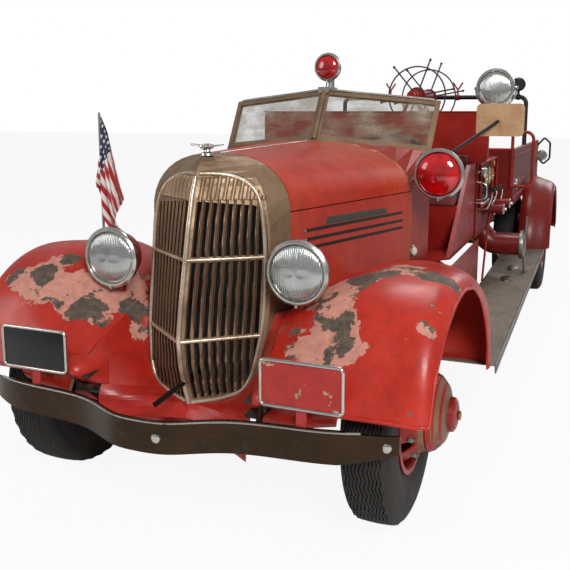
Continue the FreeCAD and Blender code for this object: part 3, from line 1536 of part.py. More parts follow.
def spot_lamp():
    """The chrome spot lamp in its yoke, on the back panel's left end."""
    at = Vector(SPOT_AT[0], front(SPOT_AT[1]), SPOT_AT[2])
    r = SPOT_RADIUS
    bell = turned(
        [(0, 0), (0, r), (24, r), (34, r - 8), (90, r - 30), (130, 50), (145, 0)],
        at,
        ALONG,
    )
    foot_z = BACK_PANEL_TOP - 120
    foot = Vector(BACK_PANEL_HALF + 13, at.y + 40, foot_z)
    post = cylinder(13, foot, Vector(foot.x, foot.y, SPOT_AT[2] - 60))
    return fused([bell, post])


def mirror():
    """The rear-view mirror on its long arm from the windshield's corner."""
    at = Vector(MIRROR_AT[0], front(MIRROR_AT[1]), MIRROR_AT[2])
    wide, tall = MIRROR_SIZE
    head = box(at.x - wide / 2, at.x + wide / 2, at.y, at.y + 14, at.z - tall / 2, at.z + tall / 2)
    edges = [e for e in head.Edges if abs(e.tangentAt(e.FirstParameter).y) > 0.9]
    head = head.makeFillet(28, edges)
    foot = Vector(SHIELD_CORNER[0] - 4, front(SHIELD_CORNER[1]) - 6, SHIELD_CORNER[2] - 90)
    arm = cylinder(8, foot, at + Vector(0, 4, 0))
    return fused([head, trimmed(arm, cowl_outer(), windshield_frame())])


def licence_plates():
    """Two blank plates, each on a strap up from the bumper."""
    pieces = []
    bar = bumper()
    for side in (-1, 1):
        x = side * PLATE_X
        y = front(PLATE_STATION)
        wide = PLATE_WIDTH / 2
        plate = box(x - wide, x + wide, y, y + PLATE_THICK, PLATE_LOW, PLATE_LOW + PLATE_HEIGHT)
        strap = prism(
            [
                Vector(x - 20, front(-584), BUMPER_Z + 20),
                Vector(x - 20, front(-592), BUMPER_Z + 20),
                Vector(x - 20, y + PLATE_THICK - 2, PLATE_LOW + 20),
                Vector(x - 20, y + PLATE_THICK - 2, PLATE_LOW + 60),
                Vector(x - 20, y + PLATE_THICK + 4, PLATE_LOW + 60),
                Vector(x - 20, y + PLATE_THICK + 4, PLATE_LOW + 20),
            ],
            Vector(40, 0, 0),
        )
        pieces.append(fused([plate, trimmed(strap, bar)]))
    return Part.makeCompound(pieces)


def grab_loops():
    """The tall red grab loops on the hose body's front corners."""
    y = front(pump_front()) + PUMP_LENGTH - GRAB_RADIUS - SEAT_GAP
    x0 = GRAB_INNER
    x1 = GRAB_OUTER
    low, high = GRAB_LOW, GRAB_TOP
    bow = bent_bar(
        [Vector(x0, y, low), Vector(x1, y, low), Vector(x1, y, high), Vector(x0, y, high)],
        GRAB_RADIUS,
        60,
    )
    leg = cylinder(GRAB_RADIUS, Vector(x0, y, low - GRAB_RADIUS), Vector(x0, y, high + GRAB_RADIUS))
    lugs = []
    for z in (low + 60, HOSE_SIDE_TOP - 60):
        lugs.append(box(x0 - 20, x0 + 12, y - 6, y + GRAB_RADIUS + SEAT_GAP, z - 20, z + 20))
    return both_sides(fused([bow, leg, *lugs]))


def hose_forks():
    """The red upright forks on the rack's bar."""
    y = front(RACK_STATION)
    forks = []
    for x in FORK_PLACES:
        foot = Vector(x, y, REEL_Z)
        neck = Vector(x, y, REEL_Z + 70)
        pieces = [cylinder(8, foot, neck), ball(8, neck)]
        for side in (-1, 1):
            pieces.append(cylinder(8, neck, Vector(x + side * 46, y, REEL_Z + 140)))
        pieces.append(cylinder(RACK_RADIUS + 8, foot - ACROSS * 16, foot + ACROSS * 16))
        forks.append(fused(pieces).cut(cylinder(RACK_RADIUS, foot - ACROSS * 40, foot + ACROSS * 40)))
    return Part.makeCompound(forks)


def ball_lamp():
    """The black ball-shaped lamp over the rack's left corner."""
    y = front(RACK_STATION)
    x = RACK_HALF - RACK_BEND - 12
    top = Vector(x, y, BALL_LAMP_Z)
    foot = Vector(x, y, REEL_Z)
    bell = turned([(-62, 0), (-62, 46), (-48, 62), (0, 62), (40, 48), (62, 20), (66, 0)], top, ALONG)
    clamp = cylinder(RACK_RADIUS + 7, foot - ACROSS * 14, foot + ACROSS * 14)
    lamp = fused([bell, cylinder(11, foot, top), clamp])
    return lamp.cut(cylinder(RACK_RADIUS, foot - ACROSS * 40, foot + ACROSS * 40))


def tail_lamps():
    """The two round lamps on the hose body's tail."""
    radius = 60
    at = Vector(HOSE_HALF - HOSE_WALL + radius, rear(HOSE_REAR), 1250)
    bell = turned([(0, 0), (0, 40), (12, 56), (46, radius), (60, radius), (60, 0)], at, ALONG)
    ear = box(HOSE_HALF - HOSE_WALL, at.x, at.y, at.y + 8, at.z - 28, at.z + 28)
    return both_sides(fused([bell, ear]))


def pump_panel():
    """The operator's panel on the pump house's left side, with its gauges and levers."""
    x = PUMP_HALF
    y0 = front(PANEL_START)
    y1 = front(PANEL_END)
    pieces = [box(x, x + 8, y0, y1, PANEL_LOW, PANEL_TOP)]
    for i, radius in enumerate(GAUGE_RADII):
        at = Vector(x, y0 + 95 + 165 * i, PANEL_TOP - 90)
        pieces.append(turned([(0, 0), (0, radius), (26, radius), (34, radius - 10), (34, 0)], at, ACROSS))
    for i in range(3):
        at = Vector(x, y0 + 120 + 150 * i, PANEL_LOW + 62)
        knob = at + Vector(92, 0, 26)
        pieces.append(cylinder(7, at, knob))
        pieces.append(ball(15, knob))
    return fused(pieces).cut(box(x - 100, x, y0, y1, PANEL_LOW - 50, PANEL_TOP + 50))


def flag_staff():
    """The thin staff on the right fender."""
    x, station = STAFF_AT
    foot = Vector(x, front(station), TYRE_RADIUS + 450)
    staff = cylinder(STAFF_RADIUS, foot, Vector(x, front(station), STAFF_TOP))
    return trimmed(staff, front_fender(-1))


def flag():
    """The small flag, hanging in folds, a plain soft solid."""
    x, station = STAFF_AT
    y = front(station)
    return prism(
        [
            Vector(x + STAFF_RADIUS + SEAT_GAP, y - 12, STAFF_TOP - 560),
            Vector(x + STAFF_RADIUS + SEAT_GAP, y - 12, STAFF_TOP - 25),
            Vector(x + 110, y - 12, STAFF_TOP - 470),
            Vector(x + 60, y - 12, STAFF_TOP - 560),
        ],
        Vector(0, 24, 0),
    )


def starting_crank():
    """The starting crank's shaft through the grille's foot."""
    back = Vector(0, front(ENGINE_FRONT), ENGINE_BOTTOM + 40)
    nose = Vector(0, front(-CRANK_REACH), ENGINE_BOTTOM - 6)
    return cylinder(CRANK_RADIUS, back, nose).cut(engine_block())


def tailboard():
    """The rear step on its brackets."""
    y0 = rear(REAR_OVERHANG - 430)
    y1 = rear(REAR_OVERHANG)
    pieces = [box(-TAILBOARD_HALF, TAILBOARD_HALF, y0, y1, TAILBOARD_TOP - 34, TAILBOARD_TOP)]
    for side in (-1, 1):
        xs = sorted((side * (RAIL_HALF - 30), side * RAIL_HALF))
        y = rear(RAIL_REAR)
        pieces.append(box(*xs, y, y + 30, TAILBOARD_TOP - 10, RAIL_BOTTOM + RAIL_DEPTH))
    return fused(pieces)


def valance_rows():
    """Rows of the left splash valance, from beside the hood down and round under the grille."""
    return (
        [(284, -158, 868), (326, -134, 872), (360, -111, 884)],
        [(270, -190, 762), (318, -222, 786), (363, -246, 834)],
        [(252, -212, 670), (322, -318, 706), (385, -406, 762)],
        [(238, -236, 604), (336, -396, 680), (416, -508, 696)],
        [(150, -292, 528), (290, -424, 566), (372, -512, 590)],
        [(-6, -350, 502), (200, -420, 510), (345, -506, 522)],
        [(-6, -392, 452), (200, -440, 452), (345, -510, 452)],
    )


def eased(rows, steps):
    """More rows between the given ones, on a smooth curve through them."""
    made = []
    last = len(rows) - 1
    for i in range(last):
        around = [rows[min(max(k, 0), last)] for k in (i - 1, i, i + 1, i + 2)]
        for step in range(steps):
            t = step / steps
            weights = (
                -0.5 * t + t**2 - 0.5 * t**3,
                1 - 2.5 * t**2 + 1.5 * t**3,
                0.5 * t + 2 * t**2 - 1.5 * t**3,
                -0.5 * t**2 + 0.5 * t**3,
            )
            point = []
            for j in range(3):
                point.append(sum((Vector(*row[j]) * w for row, w in zip(around, weights)), Vector()))
            made.append(point)
    made.append([Vector(*point) for point in rows[last]])
    return made


def splash_valance():
    """The sheet between the two fenders and the grille, closed under the grille's foot."""
    curves = []
    for row in eased(valance_rows(), 3):
        curves.append(Part.Wire([spline([p + Vector(0, front(0), 0) for p in row])]))
    sheet = Part.makeLoft(curves, False, True).extrude(Vector(0, 6, -6))
    half = fused(sheet.Solids).cut(box(-200, 0, front(-900), front(200), 300, 1200))
    half = half.cut(shell_block())
    half = half.cut(front_fender(1))
    xs = (RAIL_HALF - RAIL_FLANGE - 5, RAIL_HALF + 5)
    half = half.cut(box(*xs, front(-620), front(-420), 440, HORN_TOP + 30))
    half = max(half.Solids, key=lambda solid: solid.Volume)
    whole = fused([half, mirrored(half)]).cut(shell_block())
    return max(whole.Solids, key=lambda solid: solid.Volume)


def front_fenders():
    """Both front fenders, joined by the splash valance round the grille's foot."""
    low, high = HORN_BOTTOM, HORN_TOP + 40
    notch = box(RAIL_HALF - 30, RAIL_HALF + SEAT_GAP, front(-HORN_REACH), front(-HORN_REACH + 90), low, high)
    left = front_fender(1).cut(notch)
    return Part.makeCompound([left, mirrored(left), splash_valance()])


PIECES = {
    "frame_rails": frame_rails,
    "front_axle": front_axle,
    "leaf_springs": lambda: Part.makeCompound([front_springs(), rear_springs()]),
    "rear_axle": rear_axle,
    "engine_block": engine_block,
    "drive_shaft": drive_shaft,
    "radiator_core": radiator_core,
    "grille_shell": grille_shell,
    "starting_crank": starting_crank,
    "hood_left": lambda: hood_half(1),
    "hood_right": lambda: hood_half(-1),
    "hood_hinge": hood_hinge,
    "hood_sides": lambda: both_sides(hood_side()),
    "cowl": cowl,
    "windshield_frame": windshield_frame,
    "windshield_glass": windshield_glass,
    "cab_floor": cab_floor,
    "cab_body": cab_body,
    "seat_cushions": lambda: Part.makeCompound([seat_cushion(), seat_back_pad()]),
    "steering_column": steering_column,
    "steering_wheel": steering_wheel,
    "knuckle_left": lambda: knuckle(1),
    "knuckle_right": lambda: knuckle(-1),
    "tie_rod": tie_rod,
    "wheel_front_left": lambda: front_wheel(1),
    "wheel_front_right": lambda: front_wheel(-1),
    "wheel_rear_left": lambda: rear_wheel(1),
    "wheel_rear_right": lambda: rear_wheel(-1),
    "tyre_front_left": lambda: front_tyre(1),
    "tyre_front_right": lambda: front_tyre(-1),
    "tyres_rear_left": lambda: rear_tyres(1),
    "tyres_rear_right": lambda: rear_tyres(-1),
    "front_fenders": front_fenders,
    "rear_fenders": lambda: both_sides(rear_fender(1)),
    "running_boards": lambda: both_sides(running_board(1)),
    "side_valances": side_valances,
    "pump_house": pump_house,
    "pump": pump,
    "hose_body": hose_body,
    "reel_shaft": reel_shaft,
    "hose_reel": hose_reel,
    "reel_stand": reel_stand,
    "rail_rack": rail_rack,
    "bumper": bumper,
    "headlamps": lambda: Part.makeCompound([headlamp(1), headlamp(-1)]),
    "siren_lamp": siren_lamp,
    "beacon": beacon,
    "spot_lamp": spot_lamp,
    "mirror": mirror,
    "licence_plates": licence_plates,
    "grab_loops": grab_loops,
    "hose_forks": hose_forks,
    "ball_lamp": ball_lamp,
    "tail_lamps": tail_lamps,
    "pump_panel": pump_panel,
    "flag_staff": flag_staff,
    "flag": flag,
    "tailboard": tailboard,
}


def main():
    """Builds each piece and writes one STEP file for it."""
    os.makedirs("parts", exist_ok=True)
    for name, make in PIECES.items():
        shape = make()
        if not shape.isValid():
            print("not valid:", name)
        shape.exportStep(f"parts/{name}.step")
        low = shape.BoundBox
        size = (round(low.XLength), round(low.YLength), round(low.ZLength))
        print(name, len(shape.Solids), round(shape.Volume / 1e6, 2), "litres", *size)


main()
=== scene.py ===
"""Looks of an open-cab pumper fire engine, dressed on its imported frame.

Each sub-assembly is a class that holds its own sizes and builds its pieces. Every length is in metres, in
the frame's own axes: +Z up, +X towards the vehicle's left, the front faces -Y.
"""

import json
import logging
import math
from dataclasses import dataclass
from enum import Enum
from typing import Callable, Iterable, Sequence

import bpy
from mathutils import Matrix, Vector


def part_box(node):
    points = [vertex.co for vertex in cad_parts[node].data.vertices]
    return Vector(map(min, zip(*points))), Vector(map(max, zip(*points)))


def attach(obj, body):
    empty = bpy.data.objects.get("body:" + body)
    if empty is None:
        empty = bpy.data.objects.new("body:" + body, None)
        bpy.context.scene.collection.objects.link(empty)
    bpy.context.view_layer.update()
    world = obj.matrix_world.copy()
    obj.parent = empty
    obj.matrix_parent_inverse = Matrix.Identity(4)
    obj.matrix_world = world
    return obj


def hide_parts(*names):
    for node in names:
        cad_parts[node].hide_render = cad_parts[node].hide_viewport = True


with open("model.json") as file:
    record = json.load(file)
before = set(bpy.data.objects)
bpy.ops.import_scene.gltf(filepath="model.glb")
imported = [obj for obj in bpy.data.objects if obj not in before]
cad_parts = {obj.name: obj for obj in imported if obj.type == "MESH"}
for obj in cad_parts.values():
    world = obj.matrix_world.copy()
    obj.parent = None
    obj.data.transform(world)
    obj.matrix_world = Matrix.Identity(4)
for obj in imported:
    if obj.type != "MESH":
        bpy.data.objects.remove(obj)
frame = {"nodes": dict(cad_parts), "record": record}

LOG = logging.getLogger("pumper")
FRONT_AXLE = -2.705
REAR_AXLE = 1.945
AXLE_HEIGHT = 0.473
UP = Vector((0, 0, 1))
ALONG = Vector((0, 1, 0))
ACROSS = Vector((1, 0, 0))

# Rays that look for a surface start here, clear of the vehicle
RAY_TOP = 3.5
RAY_FRONT = -5.0
RAY_SIDE = 2.0

Colour = tuple[float, float, float]
Place = tuple[float, float, float]
Piece = bpy.types.Object


class Slot(str, Enum):
    """Material slots of the record, by which the CAD nodes take their finish."""

    HOOD = "hood_paint"
    BODY = "body_paint"
    FENDER = "fender_paint"
    BRONZE = "bronze_paint"
    CHASSIS = "chassis_paint"
    BLACK = "black_paint"
    CHROME = "chrome"
    STEEL = "steel"
    IRON = "iron"
    BRASS = "brass"
    BOARD = "board_grey"
    PANE = "pane"
    TYRE = "tyre"
    LEATHER = "seat_leather"
    CLOTH = "cloth"
    PLATE = "plate_paint"


class Side(int, Enum):
    """Side of the vehicle: the sign of X."""

    LEFT = 1
    RIGHT = -1

    @property
    def word(self) -> str:
        """The side as a word in a piece's name."""
        return self.name.lower()


class Rise(int, Enum):
    """The axis that a cushion swells along."""

    FORWARDS = 1
    UP = 2


def front(station: float) -> float:
    """Y of a station behind the front axle."""
    return FRONT_AXLE + station


def rear(station: float) -> float:
    """Y of a station behind the rear axle."""
    return REAR_AXLE + station


def touch(nodes: Sequence[str], origin: Vector, direction: Vector) -> tuple[Vector, Vector]:
    """Finds where a ray first meets one of some CAD nodes.

    Args:
        nodes: names of the CAD nodes.
        origin: where the ray starts.
        direction: which way it goes.

    Returns:
        The point met and the outward normal there.
    """
    best = None
    for name in nodes:
        hit, point, normal, _ = frame["nodes"][name].ray_cast(origin, direction)
        if hit and (best is None or (point - origin).length < (best[0] - origin).length):
            best = (point.copy(), normal.copy())
    if best is None:
        raise ValueError(f"no surface of {list(nodes)} from {tuple(origin)} along {tuple(direction)}")
    return best


class NodeSheet:
    """A node tree, with short calls for the nodes that materials and the world share."""

    def __init__(self, tree: bpy.types.NodeTree) -> None:
        """Starts with an emptied tree."""
        self.tree = tree
        self.tree.nodes.clear()

    def node(self, kind: str, links: dict[object, object] | None = None,
             **settings: object) -> bpy.types.Node:
        """Adds a node.

        Args:
            kind: the node's type name.
            links: socket name or number to a value or to another node's output.
            settings: the node's own properties.

        Returns:
            The new node.
        """
        made = self.tree.nodes.new(kind)
        for name, value in settings.items():
            setattr(made, name, value)
        for socket, value in (links or {}).items():
            if isinstance(value, bpy.types.NodeSocket):
                self.tree.links.new(value, made.inputs[socket])
            else:
                made.inputs[socket].default_value = value
        return made

    def span(self, value: object, low: float, high: float, to_low: float = 0.0,
             to_high: float = 1.0) -> object:
        """Maps a value's range to another, held at both ends."""
        links = {0: value, 1: low, 2: high, 3: to_low, 4: to_high}
        return self.node("ShaderNodeMapRange", links, clamp=True).outputs[0]

    def sum(self, kind: str, first: object, second: object = 0.0) -> object:
        """One arithmetic step on two values."""
        return self.node("ShaderNodeMath", {0: first, 1: second}, operation=kind).outputs[0]


class Shader(NodeSheet):
    """A material's node sheet, with its Principled shader and the patterns that the finishes share."""

    def __init__(self, name: str) -> None:
        """Starts a node material with one Principled shader."""
        self.material = bpy.data.materials.new(name)
        self.material.use_nodes = True
        super().__init__(self.material.node_tree)
        self.output = self.node("ShaderNodeOutputMaterial")
        self.skin = self.node("ShaderNodeBsdfPrincipled")
        self.tree.links.new(self.skin.outputs["BSDF"], self.output.inputs["Surface"])

    def set(self, **values: object) -> None:
        """Writes plain values to the shader's own sockets, by their names with underscores."""
        for name, value in values.items():
            self.skin.inputs[name.replace("_", " ")].default_value = value

    def feed(self, socket: str, value: object) -> None:
        """Links an output to one of the shader's sockets."""
        self.tree.links.new(value, self.skin.inputs[socket])

    def place(self) -> object:
        """Object coordinates, which hold still on the piece."""
        return self.node("ShaderNodeTexCoord").outputs["Object"]

    def stretched(self, vector: object, scale: tuple[float, float, float]) -> object:
        """Coordinates scaled along each axis, for a pattern with a grain."""
        return self.node("ShaderNodeMapping", {"Vector": vector, "Scale": scale}).outputs[0]

    def noise(self, vector: object, scale: float, detail: float = 6.0, rough: float = 0.6) -> object:
        """Soft random pattern.

        Args:
            vector: the coordinates it is laid on.
            scale: how many blotches go to a metre.
            detail: how many finer layers are added.
            rough: how strong each finer layer is.

        Returns:
            A value from 0 to 1, about 0.5 on average.
        """
        links = {"Vector": vector, "Scale": scale, "Detail": detail, "Roughness": rough}
        return self.node("ShaderNodeTexNoise", links).outputs["Fac"]

    def blend(self, share: object, first: object, second: object) -> object:
        """Mixes two colours by a share from 0 to 1."""
        return self.node("ShaderNodeMix", {0: share, 6: first, 7: second}, data_type="RGBA").outputs[2]

    def spot(self, vector: object, centre: Vector, radius: float) -> object:
        """A soft round patch: 1 at its centre, 0 at its radius and beyond."""
        far = self.node("ShaderNodeVectorMath", {0: vector, 1: tuple(centre)}, operation="DISTANCE")
        return self.span(far.outputs["Value"], 0.0, radius, 1.0, 0.0)

    def relief(self, height: object, depth: float, strength: float = 1.0) -> None:
        """Raises the surface by a height from 0 to 1 times depth in metres."""
        links = {"Height": height, "Distance": depth, "Strength": strength}
        self.feed("Normal", self.node("ShaderNodeBump", links).outputs["Normal"])


def tone(red: float, green: float, blue: float) -> tuple[float, float, float, float]:
    """A colour socket's value from screen values of 0 to 1."""
    def linear(c: float) -> float:
        """One channel from screen value to scene value."""
        return c / 12.92 if c <= 0.04045 else ((c + 0.055) / 1.055) ** 2.4
    return (linear(red), linear(green), linear(blue), 1.0)


def dimmed(colour: Colour, share: float) -> tuple[float, float, float, float]:
    """A colour socket's value for a darker shade of screen values."""
    return tone(*[c * share for c in colour])


@dataclass(frozen=True)
class Patch:
    """A worn place: its centre, its radius and how far it pushes the wear."""

    at: Place
    radius: float
    push: float
    bare: float = 0.0


@dataclass(frozen=True)
class WornPaint:
    """Old gloss paint that has faded, and flaked to primer and to bare metal in places."""

    name: str
    base: Colour
    faded: Colour
    primer: Colour = (0.76, 0.52, 0.45)
    bare: Colour = (0.40, 0.34, 0.29)
    primer_from: float = 0.70
    bare_from: float = 0.62
    scale: float = 4.5
    gloss: float = 0.28
    grime: float = 0.35
    edge: float = 0.012
    bare_edge: float = 0.015
    patches: tuple[Patch, ...] = ()

    def build(self) -> bpy.types.Material:
        """Builds the material."""
        s = Shader(self.name)
        at = s.place()
        broad = s.noise(at, self.scale, 9.0, 0.62)
        second = s.noise(at, self.scale * 2.3, 8.0, 0.66)
        for patch in self.patches:
            spot = s.spot(at, Vector(patch.at), patch.radius)
            broad = s.sum("ADD", broad, s.sum("MULTIPLY", spot, patch.push))
            if patch.bare:
                second = s.sum("ADD", second, s.sum("MULTIPLY", spot, patch.bare))
        flaked = s.span(broad, self.primer_from, self.primer_from + self.edge)
        second = s.sum("ADD", second, s.sum("MULTIPLY", broad, 0.18))
        worn = s.sum("MULTIPLY", flaked, s.span(second, self.bare_from, self.bare_from + self.bare_edge))
        chips = s.span(s.noise(at, 55.0, 5.0, 0.7), 0.70, 0.72)
        tint = s.span(s.noise(at, 1.7, 3.0, 0.5), 0.35, 0.68)
        colour = s.blend(tint, tone(*self.base), tone(*self.faded))
        cloud = s.span(s.noise(at, 14.0, 6.0, 0.7), 0.42, 0.72, 0.0, self.grime)
        colour = s.blend(cloud, colour, dimmed(self.base, 0.45))
        mottle = s.span(s.noise(at, 30.0, 6.0, 0.7), 0.35, 0.65)
        primer = s.blend(mottle, tone(*self.primer), dimmed(self.primer, 0.86))
        metal = s.blend(mottle, tone(*self.bare), dimmed(self.bare, 0.62))
        colour = s.blend(flaked, colour, primer)
        colour = s.blend(worn, colour, metal)
        colour = s.blend(s.sum("MULTIPLY", chips, 0.75), colour, dimmed(self.bare, 0.5))
        s.feed("Base Color", colour)
        rub = s.span(s.noise(at, 9.0, 5.0, 0.6), 0.3, 0.7, self.gloss, self.gloss + 0.16)
        s.feed("Roughness", s.sum("MAXIMUM", rub, s.sum("MULTIPLY", flaked, 0.62)))
        height = s.sum("SUBTRACT", s.sum("MULTIPLY", s.noise(at, 90.0, 4.0, 0.5), 0.10), flaked)
        height = s.sum("SUBTRACT", height, s.sum("MULTIPLY", worn, 0.6))
        s.relief(height, 0.0009)
        s.set(Coat_Weight=0.10, Coat_Roughness=0.15, Specular_IOR_Level=0.35)
        return s.material


@dataclass(frozen=True)
class Plating:
    """Bright plated or bare metal, dulled by pits, haze and rust."""

    name: str
    base: Colour
    rust: Colour = (0.36, 0.22, 0.14)
    rust_from: float = 0.66
    roughness: float = 0.14
    scale: float = 16.0
    metallic: float = 1.0

    def build(self) -> bpy.types.Material:
        """Builds the material."""
        s = Shader(self.name)
        at = s.place()
        pits = s.noise(at, self.scale, 9.0, 0.72)
        rusty = s.span(pits, self.rust_from, self.rust_from + 0.07)
        haze = s.noise(at, self.scale * 0.35, 5.0, 0.6)
        clouded = s.span(haze, 0.35, 0.7, 0.0, 0.55)
        colour = s.blend(clouded, tone(*self.base), dimmed(self.base, 0.68))
        colour = s.blend(rusty, colour, tone(*self.rust))
        s.feed("Base Color", colour)
        s.feed("Metallic", s.span(rusty, 0.0, 1.0, self.metallic, 0.15))
        dull = s.span(haze, 0.3, 0.75, self.roughness, self.roughness + 0.22)
        s.feed("Roughness", s.sum("MAXIMUM", dull, s.sum("MULTIPLY", rusty, 0.7)))
        grain = s.sum("MULTIPLY", s.noise(at, 120.0, 3.0, 0.5), 0.12)
        height = s.sum("ADD", s.sum("MULTIPLY", rusty, 0.6), grain)
        s.relief(height, 0.0005)
        return s.material


@dataclass(frozen=True)
class Metallic:
    """Bronze metallic paint, dulled and grainy."""

    name: str
    base: Colour
    dark: Colour
    glint: Colour = (0.62, 0.52, 0.40)
    chipped: Colour = (0.22, 0.16, 0.12)
    roughness: float = 0.38

    def build(self) -> bpy.types.Material:
        """Builds the material."""
        s = Shader(self.name)
        at = s.place()
        cloud = s.span(s.noise(at, 7.0, 8.0, 0.68), 0.38, 0.68)
        grain = s.span(s.noise(at, 260.0, 3.0, 0.6), 0.35, 0.65)
        colour = s.blend(cloud, tone(*self.base), tone(*self.dark))
        colour = s.blend(s.sum("MULTIPLY", grain, 0.25), colour, tone(*self.glint))
        chips = s.span(s.noise(at, 38.0, 7.0, 0.72), 0.64, 0.66)
        colour = s.blend(s.sum("MULTIPLY", chips, 0.7), colour, tone(*self.chipped))
        s.feed("Base Color", colour)
        s.feed("Roughness", s.span(cloud, 0.0, 1.0, self.roughness, self.roughness + 0.2))
        s.relief(s.sum("ADD", s.sum("MULTIPLY", grain, 0.25), s.sum("MULTIPLY", chips, -0.6)), 0.0004)
        s.set(Metallic=0.55)
        return s.material


@dataclass(frozen=True)
class Rubber:
    """Matt rubber or flat paint with dust in its grain."""

    name: str
    base: Colour
    dust: Colour = (0.34, 0.30, 0.26)

    def build(self) -> bpy.types.Material:
        """Builds the material."""
        s = Shader(self.name)
        at = s.place()
        cloud = s.span(s.noise(at, 11.0, 7.0, 0.66), 0.45, 0.78, 0.0, 0.6)
        s.feed("Base Color", s.blend(cloud, tone(*self.base), tone(*self.dust)))
        s.feed("Roughness", s.span(cloud, 0.0, 0.6, 0.62, 0.9))
        s.relief(s.noise(at, 220.0, 4.0, 0.6), 0.0005)
        return s.material


@dataclass(frozen=True)
class OldGlass:
    """Laminated glass with a general haze and upright streaks."""

    name: str
    clear: Colour = (0.38, 0.36, 0.30)
    milky: Colour = (0.66, 0.62, 0.55)

    def build(self) -> bpy.types.Material:
        """Builds the material."""
        s = Shader(self.name)
        at = s.place()
        cloud = s.noise(at, 5.0, 8.0, 0.62)
        streak = s.noise(s.stretched(at, (3.0, 3.0, 22.0)), 1.6, 6.0, 0.6)
        both = s.sum("ADD", s.sum("MULTIPLY", cloud, 0.7), s.sum("MULTIPLY", streak, 0.3))
        haze = s.span(both, 0.40, 0.66)
        s.feed("Base Color", s.blend(haze, tone(*self.clear), tone(*self.milky)))
        s.feed("Alpha", s.span(haze, 0.0, 1.0, 0.22, 0.72))
        s.feed("Roughness", s.span(haze, 0.0, 1.0, 0.06, 0.45))
        s.relief(haze, 0.0004)
        s.set(IOR=1.5)
        s.material.surface_render_method = "BLENDED"
        return s.material


@dataclass(frozen=True)
class Lens:
    """Pressed lamp glass over its bright reflector."""

    name: str
    base: Colour
    deep: Colour
    metallic: float = 0.0
    roughness: float = 0.06
    scale: float = 42.0
    fluted: bool = False

    def build(self) -> bpy.types.Material:
        """Builds the material."""
        s = Shader(self.name)
        at = s.place()
        facet = s.span(s.noise(at, self.scale, 2.0, 0.4), 0.36, 0.66)
        s.feed("Base Color", s.blend(facet, tone(*self.base), tone(*self.deep)))
        s.feed("Roughness", s.span(facet, 0.0, 1.0, self.roughness, self.roughness + 0.08))
        height = facet
        if self.fluted:
            links = {"Vector": at, "Scale": 38.0, "Distortion": 0.3}
            wave = s.node("ShaderNodeTexWave", links, bands_direction="X")
            height = wave.outputs["Fac"]
        s.relief(height, 0.0008)
        s.set(Metallic=self.metallic, Coat_Weight=0.8, Coat_Roughness=0.04)
        return s.material


@dataclass(frozen=True)
class Leather:
    """Cracked red seat covering."""

    name: str
    base: Colour

    def build(self) -> bpy.types.Material:
        """Builds the material."""
        s = Shader(self.name)
        at = s.place()
        cells = s.node("ShaderNodeTexVoronoi", {"Vector": at, "Scale": 130.0}, feature="DISTANCE_TO_EDGE")
        line = s.span(cells.outputs[0], 0.0, 0.12)
        cloud = s.span(s.noise(at, 6.0, 7.0, 0.65), 0.38, 0.70)
        colour = s.blend(cloud, tone(*self.base), dimmed(self.base, 0.62))
        colour = s.blend(s.span(line, 0.0, 1.0, 0.6, 0.0), colour, tone(0.20, 0.08, 0.07))
        s.feed("Base Color", colour)
        s.feed("Roughness", s.span(cloud, 0.0, 1.0, 0.42, 0.62))
        s.relief(line, 0.0006)
        s.set(Sheen_Weight=0.1)
        return s.material


@dataclass(frozen=True)
class StripedCloth:
    """Flag cloth: thirteen stripes and a starred corner, read from the cloth's own UV map."""

    name: str
    stripes: int = 13
    corner_stripes: int = 7
    corner_fly: float = 0.4
    stars_across: float = 6.0
    stars_down: float = 5.0
    red: Colour = (0.66, 0.10, 0.13)
    white: Colour = (0.88, 0.86, 0.83)
    blue: Colour = (0.10, 0.13, 0.27)
    star: Colour = (0.86, 0.85, 0.83)

    def build(self) -> bpy.types.Material:
        """Builds the material."""
        s = Shader(self.name)
        uv = s.node("ShaderNodeUVMap", uv_map="UVMap").outputs[0]
        parts = s.node("ShaderNodeSeparateXYZ", {0: uv})
        fly, hoist = parts.outputs[0], parts.outputs[1]
        row = s.sum("FLOOR", s.sum("MULTIPLY", hoist, float(self.stripes)))
        colour = s.blend(s.sum("MODULO", row, 2.0), tone(*self.red), tone(*self.white))
        foot = (self.stripes - self.corner_stripes) / self.stripes
        in_fly = s.sum("LESS_THAN", fly, self.corner_fly)
        corner = s.sum("MULTIPLY", in_fly, s.sum("GREATER_THAN", hoist, foot))
        across = s.sum("FRACT", s.sum("MULTIPLY", fly, self.stars_across / self.corner_fly))
        lifted = s.sum("SUBTRACT", hoist, foot)
        rows = self.stars_down * self.stripes / self.corner_stripes
        down = s.sum("FRACT", s.sum("MULTIPLY", lifted, rows))
        dx = s.sum("SUBTRACT", across, 0.5)
        dy = s.sum("SUBTRACT", down, 0.5)
        far = s.sum("SQRT", s.sum("ADD", s.sum("MULTIPLY", dx, dx), s.sum("MULTIPLY", dy, dy)))
        turn = s.sum("COSINE", s.sum("MULTIPLY", s.sum("ARCTAN2", dx, dy), 5.0))
        edge = s.sum("ADD", 0.21, s.sum("MULTIPLY", turn, 0.09))
        star = s.sum("LESS_THAN", far, edge)
        blue = s.blend(star, tone(*self.blue), tone(*self.star))
        s.feed("Base Color", s.blend(corner, colour, blue))
        weave = s.stretched(uv, (460.0, 300.0, 1.0))
        thread = s.node("ShaderNodeTexChecker", {"Vector": weave, "Scale": 1.0}).outputs["Fac"]
        s.relief(thread, 0.0002)
        s.set(Roughness=0.85, Sheen_Weight=0.25)
        return s.material


